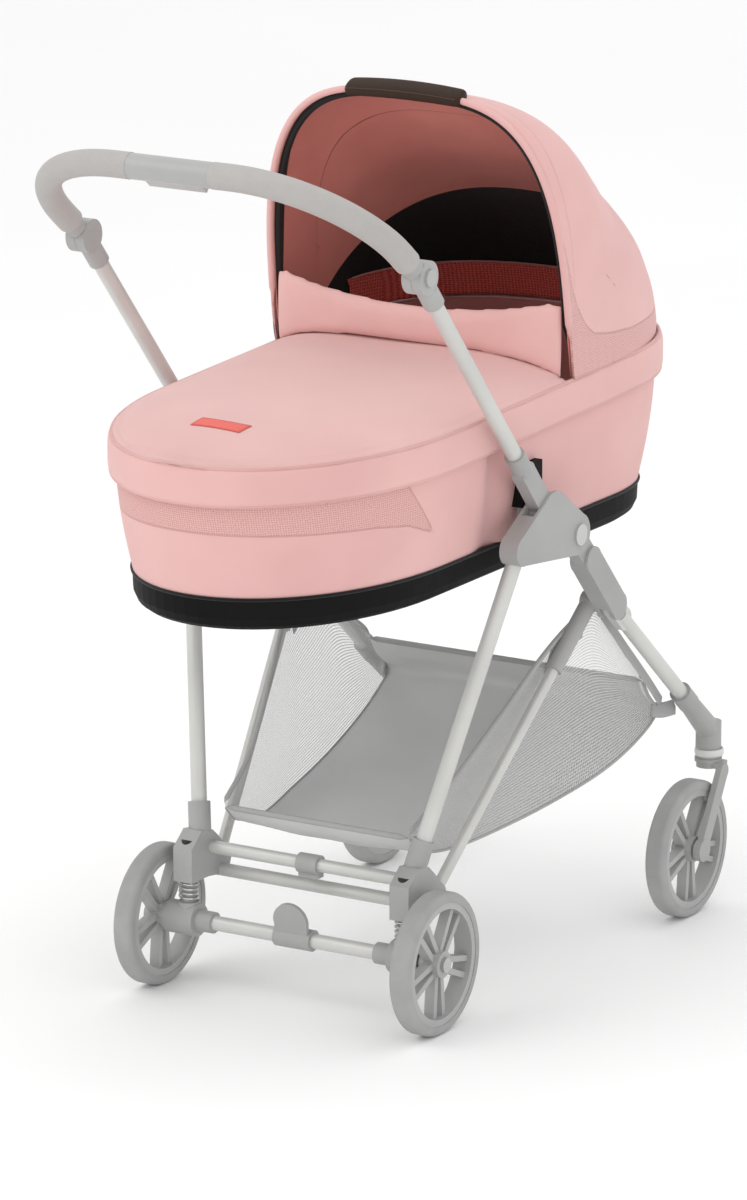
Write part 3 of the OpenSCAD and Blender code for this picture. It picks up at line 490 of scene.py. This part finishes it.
def cot_outline(count, inset):
    """Plan outline of the carrycot, inset by a distance, as count points an equal way apart.
    Half widths follow a superellipse at each end, with power 2.05 at the foot and 2.43 at the
    head, and grow by a straight line from foot to head."""
    a = np.radians(np.concatenate([np.linspace(0.02, 179.98, 1500),
                                   np.linspace(180.02, 359.98, 1500)]))
    head = np.sin(a) > 0
    power = 2 / np.where(head, 2.43, 2.05)
    cap = np.where(head, 0.209, 0.289) - inset
    y = np.where(head, 0.639 - 0.209, -0.254 + 0.289) + cap * blunt(np.sin(a), power)
    half = 0.205 - inset + 0.007 * (y + 0.254 - inset) / (0.893 - 2 * inset)
    x = blunt(np.cos(a), power) * half
    x, y = np.append(x, x[0]), np.append(y, y[0])
    run = np.concatenate([[0], np.cumsum(np.hypot(np.diff(x), np.diff(y)))])
    want = np.linspace(0, run[-1], count, endpoint=False)
    return np.stack([np.interp(want, run, x), np.interp(want, run, y)], -1)


rim_slope, level_y = 0.03, 0.286


def rim_rise(y, slope=rim_slope):
    """How much higher the sloping rim is at a Y than at level_y."""
    return slope * (y - level_y)


def cot_ring(count, inset, height, slope=rim_slope):
    """Outline at an inset, which has the height at level_y and rises as rim_rise does."""
    flat_ring = cot_outline(count, inset)
    return np.concatenate([flat_ring, height + rim_rise(flat_ring[:, 1:], slope)], 1)


def knit(name, dark, light, pitch, roughness=0.85, sheen=0.15):
    """Warp knit: rows of small holes, staggered, on the UV map in metres."""
    made, nodes, links, shader = finish(name, light, roughness, sheen=sheen, specular=0.2)
    hole = stitches(nodes, links, pitch)
    links.new(between(nodes, links, hole, dark, light, 0.18, 0.42), shader.inputs["Base Color"])
    raised(nodes, links, hole, 0.0005, shader)
    return made


def stitches(nodes, links, pitch):
    """Height of a knit: distance from the nearest of a staggered net of holes on the UV map."""
    cells = nodes.new("ShaderNodeTexVoronoi")
    cells.voronoi_dimensions = "2D"
    cells.inputs["Scale"].default_value = 1 / pitch
    cells.inputs["Randomness"].default_value = 0.25
    links.new(nodes.new("ShaderNodeUVMap").outputs["UV"], cells.inputs["Vector"])
    return cells.outputs["Distance"]


def two_cloths(name, plain, knitted, pitch, field, seam=0.0011, sheen=0.15, second=None):
    """Plain weave where a field on the piece's points is below zero and knit where it is
    above, with a sunk seam between them and a sunk line along the zero of a second field, both
    mixed towards the knit's dark tone; on the hood lining that second line is painted shade.
    plain and knitted are each a dark and a light tone."""
    made, nodes, links, shader = finish(name, plain[1], 0.84, sheen=sheen, specular=0.22)
    where = nodes.new("ShaderNodeTexCoord").outputs["Object"]
    read = nodes.new("ShaderNodeAttribute")
    read.attribute_name = field
    side = number(nodes, links, "GREATER_THAN", read.outputs["Fac"], 0.0)
    hole = stitches(nodes, links, pitch)
    plain_tone = between(nodes, links, noise(nodes, links, where, 6.0), *plain)
    knit_tone = between(nodes, links, hole, *knitted, 0.18, 0.42)
    tone = nodes.new("ShaderNodeMix")
    tone.data_type = "RGBA"
    links.new(side, tone.inputs["Factor"])
    links.new(plain_tone, tone.inputs["A"])
    links.new(knit_tone, tone.inputs["B"])
    away = number(nodes, links, "ABSOLUTE", read.outputs["Fac"], 0.0)
    if second:
        other = nodes.new("ShaderNodeAttribute")
        other.attribute_name = second
        away = number(nodes, links, "MINIMUM", away,
                      number(nodes, links, "ABSOLUTE", other.outputs["Fac"], 0.0))
    # Lines near either field's zero are darkened towards the knit's dark tone; along the hood lining's
    # bow field that darkening is painted shade of the lining's fold.
    groove = number(nodes, links, "LESS_THAN", away, seam)
    line = nodes.new("ShaderNodeMix")
    line.data_type = "RGBA"
    links.new(number(nodes, links, "MULTIPLY", groove, 0.55), line.inputs["Factor"])
    links.new(tone.outputs["Result"], line.inputs["A"])
    line.inputs["B"].default_value = knitted[0]
    links.new(line.outputs["Result"], shader.inputs["Base Color"])
    height = number(nodes, links, "MULTIPLY", hole, side)
    weave = number(nodes, links, "MULTIPLY", threads(nodes, links, 0.0009), 0.25)
    height = number(nodes, links, "ADD", height, weave)
    height = number(nodes, links, "SUBTRACT", height, number(nodes, links, "MULTIPLY", groove, 2.5))
    raised(nodes, links, height, 0.0005, shader)
    return made


pink_dark, pink_light = screen(222, 174, 171), screen(229, 183, 179)
knit_dark, knit_light = screen(196, 143, 139), screen(224, 177, 173)
pink_weave = woven("pink_weave", pink_dark, pink_light, 0.0009, sheen=0.25)
pink_piping = woven("pink_piping", screen(212, 164, 161), screen(222, 175, 171), 0.0007,
                    sheen=0.2)
pink_side = two_cloths("pink_side", (pink_dark, pink_light), (knit_dark, knit_light), 0.0029,
                       "panel")

ring_count = 288
depth = np.linspace(0, 1, 33)[:, None]
upper = cot_ring(ring_count, 0.0085, 0.689)[None]
lower = cot_ring(ring_count, 0.0275, 0.5563, 0.0)[None]
side_wall = upper + depth[..., None] * (lower - upper)
outward = upper[0, :, :2] - np.stack([0 * upper[0, :, 1], np.clip(upper[0, :, 1], 0.03, 0.43)], -1)
outward /= np.linalg.norm(outward, axis=1)[:, None]
y = side_wall[..., 1]
belly = 0.0035 * np.sin(math.pi * depth)
pinch = np.exp(-((y - 0.132) / 0.020) ** 2) * np.clip(1.15 - 0.75 * depth, 0, 1)
pinch = -0.011 * pinch + 0.0035 * np.exp(-((y - 0.172) / 0.020) ** 2) * (1 - 0.6 * depth)
drape = 0.0012 * np.sin(y * 46 + 1.2 * np.sin(y * 17)) * depth ** 1.5 * (1 - depth) * 3
along = np.abs(side_wall[..., 0]) > 0.12
side_wall[..., :2] += (belly + np.where(along, pinch, 0) + drape)[..., None] * outward[None]
rim_z = 0.730
below_rim = rim_z + rim_rise(y) - side_wall[..., 2]
seam_at = np.interp(y, (-0.254, -0.2, -0.1, -0.05, 0.0), (0.078, 0.082, 0.088, 0.096, 0.116))
end_at = np.interp(below_rim, (0.045, 0.116), (-0.058, 0.0))
cot_side = cloth_piece("cot_side", side_wall[:, ::-1], pink_side, across=True,
                       panel=np.minimum(seam_at - below_rim, end_at - y)[:, ::-1])
walled(cot_side, 0.0025)
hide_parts("cot_shell")

girth = np.linspace(0, 2 * math.pi, 28, endpoint=False)
band_out = 0.0065 - 0.0065 * blunt(np.sin(girth), 0.55)
band_up = 0.707 + 0.0215 * blunt(np.cos(girth), 0.45)
band = np.stack([cot_ring(ring_count, i - 0.0003, z) for i, z in zip(band_out, band_up)])
rim_y = cot_ring(ring_count, 0, 0)[:, 1]
swell = 0.0004 * np.sin(rim_y * 31) * np.sin(rim_y * 83)
band[..., 2] += swell[None] * np.cos(girth)[:, None]
rim_band = cloth_piece("rim_band", band[:, ::-1], pink_weave, across=True, along=True)
top_piping = sewn_tube("rim_piping_top", cot_ring(ring_count, 0.0045, 0.7292), 0.0024,
                       pink_piping, closed=True)
low_piping = sewn_tube("rim_piping_low", cot_ring(ring_count, 0.0028, 0.6868), 0.0021,
                       pink_piping, closed=True)
black_binding = woven("black_binding", screen(12, 12, 12), screen(19, 19, 19), 0.0008)
tray_binding = sewn_tube("tray_binding", cot_ring(ring_count, 0.0268, 0.5557, 0.0), 0.0021,
                         black_binding, closed=True)

# ---- carrycot lining and mattress ----
# Deeper pink lining down the inside of the shell, quilted in tall panels, and a foam mattress
# in the same cloth on the tray's floor.

lining_cloth = woven("lining_cloth", screen(176, 118, 112), screen(188, 130, 123), 0.0010,
                     sheen=0.1)
quilt_panels = 26
inner_top = cot_ring(ring_count, 0.0145, 0.7275)[None]
inner_low = cot_ring(ring_count, 0.0395, 0.578, 0.0)[None]
inner = inner_top + depth[..., None] * (inner_low - inner_top)
channels = np.abs(np.sin(np.arange(ring_count) * math.pi * quilt_panels / ring_count))
quilt = 0.0028 * channels[None] * np.sin(math.pi * depth)
inner[..., :2] -= quilt[..., None] * outward[None]
cot_lining = walled(cloth_piece("cot_lining", inner, lining_cloth, across=True), 0.002)


def closed_form(name, rings, material):
    """Closed solid through rings from the lowest to the highest, capped at both ends."""
    piece = cloth_piece(name, rings, material, across=True)
    mended(piece.data, open_sides=0, outward=True)
    return piece


def stuffed(piece, voxel, cap, pressure=4.0, frames=20):
    """The piece is filled as a cushion: its solid is remeshed, blown up as cloth with no
    gravity, kept within a distance of where it began, and smoothed by one subdivision."""
    remesh = piece.modifiers.new("even", "REMESH")
    remesh.mode, remesh.voxel_size = "VOXEL", voxel
    apply_all(piece)
    start = points_of(piece)
    cloth = piece.modifiers.new("cloth", "CLOTH")
    cloth.settings.use_pressure = True
    cloth.settings.uniform_pressure_force = pressure
    cloth.settings.effector_weights.gravity = 0
    cloth.settings.quality = 5
    cloth.point_cache.frame_end = frames
    for step in range(1, frames + 1):
        scene.frame_set(step)
    apply_all(piece)
    scene.frame_set(1)
    moved = points_of(piece) - start
    length = np.linalg.norm(moved, axis=1)[:, None] + 1e-9
    piece.data.vertices.foreach_set(
        "co", (start + moved * np.minimum(1, cap / length)).ravel().astype(np.float32))
    ease = piece.modifiers.new("ease", "SMOOTH")
    ease.factor, ease.iterations = 0.5, 14
    smooth = piece.modifiers.new("fine", "SUBSURF")
    smooth.levels = smooth.render_levels = 1
    apply_all(piece)
    piece.data.polygons.foreach_set("use_smooth", np.ones(len(piece.data.polygons), bool))
    return piece


def points_of(piece):
    """The piece's points as an array."""
    co = np.zeros(len(piece.data.vertices) * 3, np.float32)
    piece.data.vertices.foreach_get("co", co)
    return co.reshape(-1, 3).astype(float)


def apply_all(piece):
    """The mesh takes the shape its modifiers give it, and they are removed."""
    depsgraph = bpy.context.evaluated_depsgraph_get()
    shaped = bpy.data.meshes.new_from_object(piece.evaluated_get(depsgraph))
    piece.modifiers.clear()
    piece.data = shaped


def napped(name, dark, light, scale=900.0, sheen=0.3, roughness=0.86):
    """Cloth on a stuffed piece, which has no UV map: fine fibre grain in three directions."""
    made, nodes, links, shader = finish(name, light, roughness, sheen=sheen, specular=0.2)
    where = nodes.new("ShaderNodeTexCoord").outputs["Object"]
    links.new(between(nodes, links, noise(nodes, links, where, 7.0), dark, light),
              shader.inputs["Base Color"])
    raised(nodes, links, noise(nodes, links, where, scale, 2.0), 0.0003, shader)
    return made


pad_rings = [cot_ring(160, i, z, 0.0) for i, z in (
    (0.056, 0.5245), (0.050, 0.529), (0.048, 0.536), (0.048, 0.566), (0.050, 0.573), (0.056, 0.577))]
mattress_cloth = napped("mattress_cloth", screen(200, 150, 145), screen(210, 160, 155))
mattress = stuffed(closed_form("mattress_pad", np.array(pad_rings), mattress_cloth), 0.006, 0.006)
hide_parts("mattress")

# ---- apron ----
# Padded cover zipped to the rim over the foot end. It crowns a little and carries a plain
# sewn coral tab near the foot.

apron_foot, apron_end = -0.2488, 0.281
apron_inset = 0.0052
spine = np.linspace(-1, 1, 81)[None, :]
run = np.linspace(0, 1, 101)[:, None]
edge = cot_outline(4000, apron_inset)
edge = edge[(edge[:, 0] > 0) & (edge[:, 1] < 0.33)]
edge = edge[np.argsort(edge[:, 1])]
line_y = apron_foot + (apron_end - apron_foot) * run ** 1.25
half = np.interp(line_y, edge[:, 1], edge[:, 0]) * (1 - 1e-4)
apron_x = half * np.sin(0.5 * math.pi * spine)
inside = cot_outline(900, apron_inset)


def reach_in(x, y):
    """Distance of points from the outline of the apron, in plan."""
    away = (x[..., None] - inside[:, 0]) ** 2 + (y[..., None] - inside[:, 1]) ** 2
    return np.sqrt(away.min(-1))


def crown(reach):
    """Rise of the padding over the rim, steep near the outline and flat beyond 0.135 m of it."""
    return 0.026 * (1 - (1 - np.minimum(0.75, reach / 0.180)) ** 4)


def billow(x, y):
    """Slow waves in the padded cloth."""
    return 0.0012 * np.sin(23 * y + 3 * np.sin(9 * x))


apron_low = 0.7308
apron_y = line_y + 0 * spine
reach = reach_in(apron_x, apron_y)
stitched = -0.0014 * np.exp(-((reach - 0.0085) / 0.0022) ** 2)
apron_z = (apron_low + rim_rise(apron_y) + crown(reach)
           + billow(apron_x, apron_y) * np.minimum(1, reach / 0.05) + stitched)
apron_grid = np.stack([apron_x, apron_y, apron_z], -1)
apron = walled(cloth_piece("apron_cover", apron_grid, woven(
    "apron_cloth", screen(222, 178, 174), screen(229, 186, 182), 0.0009, sheen=0.25)), 0.004)
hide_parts("apron")

tab_middle = 0.159
tab_x, tab_y = np.meshgrid(np.linspace(-0.033, 0.033, 23), np.linspace(-0.0135, 0.0135, 11))
hemmed = np.maximum(np.abs(tab_x) - 0.0310, np.abs(tab_y) - 0.0115)
tab_y = tab_y - tab_middle
tab_z = (apron_low + rim_rise(tab_y) + crown(reach_in(tab_x, tab_y)) + billow(tab_x, tab_y)
         + 0.0011)
coral_cloth = two_cloths("coral_cloth", (screen(226, 98, 88), screen(234, 108, 97)),
                         (screen(214, 92, 82), screen(232, 112, 100)), 0.0014, "hem",
                         seam=0.0005)
tab = cloth_piece("coral_tab", np.stack([tab_x, tab_y, tab_z], -1), coral_cloth, hem=hemmed)
walled(tab, 0.0008)

# ---- wind flap ----
# Long stuffed flap of pink cloth that stands across the mouth of the hood on the apron's end,
# its upper edge dipping in the middle and its ends bent back along the rim.

flap_s = np.linspace(-1, 1, 61)
flap_x = 0.1965 * flap_s
flap_foot = (0.7265 + crown(reach_in(flap_x, np.full(61, 0.270))))[:, None]
flap_head = (0.8300 - 0.024 * (1 - flap_s ** 2) - 0.008 * np.abs(flap_s) ** 20)[:, None]
thick = 0.0056
section = np.linspace(0, 2 * math.pi, 24, endpoint=False)
flap_line = 0.268 + 0.018 * flap_s[:, None] ** 6
flap_rings = np.stack([
    flap_x[:, None] + 0 * section, flap_line + thick * blunt(np.cos(section), 0.6),
    (flap_foot + flap_head) / 2 + (flap_head - flap_foot) / 2 * blunt(np.sin(section), 0.6)], -1)
flap_cloth = napped("flap_cloth", screen(221, 174, 170), screen(228, 183, 179))
flap = stuffed(closed_form("wind_flap_pad", flap_rings, flap_cloth), 0.004, 0.0025)
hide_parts("wind_flap")

for piece in (cot_side, rim_band, top_piping, low_piping, cot_lining, mattress, apron, tab, flap):
    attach(piece, "carrycot")
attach(tray_binding, "carrycot")

# ---- hood ----
# One continuous cloth canopy sewn to a bow that turns on a pin at each side of the rim. Knit
# panels close its sides along the rim, a black tape lines the front edge, and the lining is
# pink in front of the middle bow and black net behind it. The lining has a ridge along the
# fold of its bow pocket, and a dark line painted along that fold stands for its shade.

hood_y, hood_z = 0.385, 0.761
rear_radius, bow_radius, hood_half = 0.250, 0.3325, 0.2075
rear_power, bow_power = 2.5, 3.4
rear_share, bow_share = 2 / rear_power, 2 / bow_power
# Fan angle of the fold of the bow pocket in the hood lining: the lining is pushed in there, and a dark
# line of painted shade runs along it.
fold_fan = 94
hood_line = smooth_line(np.array([
    (-5, rear_radius), (15, 0.232), (30, 0.215), (45, 0.2025), (60, 0.198), (75, 0.208),
    (88, 0.239), (100, 0.288), (114.5, bow_radius)]), 200)


def hood_edge(r):
    """Fan angles, at a distance r from the pin, of the rim behind it and of the front edge:
    the rim is a line 0.0276 below the pin, and the front edge is a line leaning 7.4 degrees
    that passes 0.0957 in front of the pin, down to where the two lines meet."""
    drop = np.degrees(np.arcsin(np.minimum(1, 0.0276 / np.maximum(r, 1e-6))))
    lean = 7.4 + np.degrees(np.arccos(-np.minimum(1, 0.0957 / np.maximum(r, 0.0957))))
    return 1.72 - drop, np.where(r < 0.097, 181.72 + drop, lean)


def flank(arch, power):
    """Half width of the hood as a share: 1 less the drop d of a superellipse, with d replaced
    by 1.015 d squared over (d + 0.015), so that the cloth stays flat around the pins."""
    drop = 1 - np.abs(np.cos(arch)) ** power
    return np.sign(np.cos(arch)) * (1 - 1.015 * drop ** 2 / (drop + 0.015))


def canopy(name, material, layer, part, arch, inward=False, front=None, low=None, **fields):
    """Sheet of the hood at a depth inside its face. part runs from 0 at the rim behind to 1 at
    the front edge, and arch from 0 at the right pin to 180 at the left. Its section across is
    a superellipse whose power goes from 2.5 behind to 3.4 at the front bow, and its radius
    follows hood_line. front narrows it to a width along the front edge, and low to a width
    along the rim."""
    s = np.radians(arch)[None, :]
    p = part[:, None]
    sine = np.sin(s) * (np.sin(s) > 1e-3)
    bow_r = sine ** bow_share * bow_radius
    rear_r = sine ** rear_share * rear_radius
    ahead = hood_edge(bow_r)[1]
    behind = hood_edge(rear_r)[0]
    if front:
        behind = ahead - np.degrees(front / np.maximum(bow_r, 0.05))
    if low:
        ahead = behind + np.degrees(low / np.maximum(rear_r, 0.05))
    a = behind + p * (ahead - behind)
    power = 2 / (2.5 + 0.9 * np.clip((a - 20) / 80, 0, 1))
    q = sine ** power
    r = q * (np.interp(a, hood_line[:, 0], hood_line[:, 1]) - layer)
    crease = 0.0010 * np.exp(-((q - 0.74) / 0.12) ** 2) * np.sin(np.radians(a * 6)) ** 2
    crease *= np.clip((a - 20) / 30, 0, 1) * np.clip((120 - a) / 30, 0, 1)
    if inward and "bow" in fields:
        ridge = np.exp(-((a - fold_fan) / 3.5) ** 2)
        r -= 0.005 * q * ridge * np.clip(2.5 * np.abs(np.cos(s)) - 0.3, 0, 1)
    x = (hood_half - layer - crease) * flank(s, power)
    y = hood_y + r * np.cos(np.radians(a))
    z = hood_z + r * np.sin(np.radians(a))
    points = np.stack([x + 0 * y, y, z], -1)
    height = z - rim_z - rim_rise(y)
    seam = np.interp(y, (0.25, 0.269, 0.289, 0.3, 0.32, 0.34, 0.38, 0.43, 0.5, 0.64),
                     (0.2, 0.185, 0.109, 0.085, 0.060, 0.046, 0.038, 0.033, 0.033, 0.036))
    side = np.abs(np.cos(s))
    # bow is the distance from the lining's fold, made narrower near the top; the lining darkens a line
    # along its zero as painted shade of the fold.
    known = {"knit": seam - height,
             "hem": (ahead - a) * np.pi / 180 * np.maximum(r, 0.05) - 0.022 + 0.05 * (r < 0.12),
             "net": 44 - 8 * side - a + 0 * p,
             "bow": np.radians(a - fold_fan) * 0.22 * (1 + 6 * np.clip(0.45 - side, 0, 1))}
    values = {key: known[key] * scale for key, scale in fields.items()}
    if inward:
        points, a = points[:, ::-1], a[:, ::-1]
        values = {key: value[:, ::-1] for key, value in values.items()}
    piece = cloth_piece(name, points, material, **values)
    mesh = piece.data
    corner = np.zeros(len(mesh.loops), np.int32)
    mesh.loops.foreach_get("vertex_index", corner)
    co = points.reshape(-1, 3)[corner].reshape(-1, 4, 3)
    fan = (a + 0 * points[..., 0]).ravel()[corner].reshape(-1, 4)
    flat_side = (np.abs(co[..., 0]).mean(1) > 0.185)[:, None, None]
    chart = np.where(flat_side, co[..., 1:], np.stack([np.radians(fan) * 0.3, co[..., 0]], -1))
    mesh.uv_layers["UVMap"].data.foreach_set("uv", chart.ravel().astype(np.float32))
    mended(mesh, weld=1e-5)
    return piece


arch = 90 - 90 * np.cos(np.linspace(0, math.pi, 241))
part = np.linspace(0, 1, 73)
canopy_cloth = two_cloths("canopy_cloth", (pink_dark, pink_light), (knit_dark, knit_light), 0.0028,
                          "knit", sheen=0.25, second="hem")
hood_cover = walled(canopy("hood_cover", canopy_cloth, -0.001, part, arch, knit=1.0, hem=3.0),
                    0.003)
# The dark line this lining cloth draws along its bow field is painted shade of the fold of the bow
# pocket, over the ridge the geometry makes.
hood_lining_cloth = two_cloths("hood_lining_cloth", (screen(214, 136, 125), screen(223, 146, 135)),
                               (screen(8, 8, 8), screen(24, 23, 23)), 0.0030, "net",
                               seam=0.0012, sheen=0.1, second="bow")
hood_lining = walled(canopy("hood_lining", hood_lining_cloth, 0.0062, part, arch, inward=True,
                            net=0.0042, bow=2.0), 0.0015)
for piece in (hood_cover, hood_lining):
    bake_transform(piece)
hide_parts("hood_front", "hood_mid", "hood_rear")

black_tape = woven("black_tape", screen(20, 20, 20), screen(33, 33, 33), 0.0014, roughness=0.6,
                   sheen=0.05)
open_arch = np.linspace(7.8, 172.2, 121)
bow_tape = walled(canopy("bow_tape", black_tape, 0.0083, np.linspace(0, 1, 9), open_arch,
                         inward=True, front=0.027), 0.0012)
lip = np.radians(np.linspace(7.6, 172.4, 161))
edge_r = np.sin(lip) ** bow_share * (bow_radius - 0.002)
edge_a = np.radians(hood_edge(edge_r)[1])
edge_x = 0.2055 * flank(lip, bow_share)
edge_path = np.stack([edge_x, hood_y + edge_r * np.cos(edge_a),
                      hood_z + edge_r * np.sin(edge_a)], -1)
bow_piping = sewn_tube("bow_piping", edge_path, 0.0042, pink_weave, up=(0, 1, 0.15))
bow_core = sewn_tube("bow_core", edge_path * (0.966, 1, 1) + (0, 0.008, -0.006), 0.0045,
                     black_tape, up=(0, 1, 0.15))
strip_width, guide_count = 0.046, 61
strip_knit = knit("lining_strip_knit", screen(150, 52, 44), screen(206, 98, 88), 0.0042)
strip = walled(canopy("lining_strip", strip_knit, 0.0085, np.linspace(0, 1, 9),
                      np.linspace(12, 168, 121), inward=True, low=strip_width), 0.001)
strip_top = canopy("strip_guide", black_tape, 0.0095, np.array([0.96, 1.0]),
                   np.linspace(12, 168, guide_count), low=strip_width)
strip_path = points_of(strip_top)[guide_count:] - (0, axle_y, 0)
bpy.data.objects.remove(strip_top)
strip_edge = sewn_tube("lining_strip_edge", strip_path, 0.0014, lining_cloth)

# ---- carrying grip ----
# Dark brown leather wrapped round the bow's middle over a foam core, closed by a line of
# stitches along one long edge.

lean = math.radians(114.5)
radial = np.array([0, math.cos(lean), math.sin(lean)])
across = np.array([0, math.sin(lean), -math.cos(lean)])
span = np.linspace(-1, 1, 61)[:, None]
turn_round = np.linspace(0, 2 * math.pi, 32, endpoint=False)[None, :]
full = (1 - np.abs(span) ** 40) ** 0.5 * (1 + 0.08 * (1 - span ** 2))
grip_half, grip_bend = 0.080, 0.0040
curve = -grip_bend * span ** 2
wide = 0.0130 * full * blunt(np.cos(turn_round), 0.75)
high = 0.0080 * full * blunt(np.sin(turn_round), 0.8)
centre = np.array([0, hood_y, hood_z]) + 0.3318 * radial
grip_points = (centre + np.stack([grip_half * span + 0 * wide, 0 * wide, 0 * wide], -1)
               + (high + curve)[..., None] * radial + (wide + 0.004)[..., None] * across)
hood_pad = cloth_piece("hood_grip_pad", grip_points, hide(
    "brown_leather", screen(44, 29, 21), screen(58, 42, 32), 0.6, pores=700.0, specular=0.2), across=True)
mended(hood_pad.data, weld=1e-6, outward=True)
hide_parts("hood_grip")

stitch_count, bead_sides = 37, 6
stitch_at = np.linspace(-0.073, 0.073, stitch_count)
thread = finish("brown_thread", screen(92, 74, 62), 0.7)[0]
bead = np.linspace(0, 2 * math.pi, bead_sides, endpoint=False)
step = np.array([-1, -0.7, 0.7, 1])
swell = np.array([0.1, 1, 1, 0.1])
row = (stitch_at[:, None, None, None] * (1, 0, 0)
       + step[None, :, None, None] * (0.0013, 0, 0)
       + swell[None, :, None, None] * 0.0005 * (np.cos(bead)[None, None, :, None] * radial
                                                + np.sin(bead)[None, None, :, None] * across))
bent = curve.max() - grip_bend * (stitch_at / grip_half) ** 2
row = row + centre + 0.0058 * radial - 0.0082 * across + bent[:, None, None, None] * radial
near = np.arange(bead_sides)
far = (near + 1) % bead_sides
one = np.concatenate([
    np.stack([i * bead_sides + near, i * bead_sides + far, (i + 1) * bead_sides + far,
              (i + 1) * bead_sides + near], -1) for i in range(3)])
quads = (np.arange(stitch_count)[:, None, None] * 4 * bead_sides + one[None]).reshape(-1, 4)
stitch_mesh = bpy.data.meshes.new("grip_stitches")
stitch_mesh.from_pydata(row.reshape(-1, 3) + (0, axle_y, 0), [], quads)
stitch_mesh.materials.append(thread)
grip_stitches = bpy.data.objects.new("grip_stitches", stitch_mesh)
scene.collection.objects.link(grip_stitches)

for piece in (bow_tape, bow_piping, bow_core, hood_pad, grip_stitches):
    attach(piece, "hood_bow")
for piece in (strip, strip_edge):
    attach(piece, "carrycot")

low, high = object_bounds()
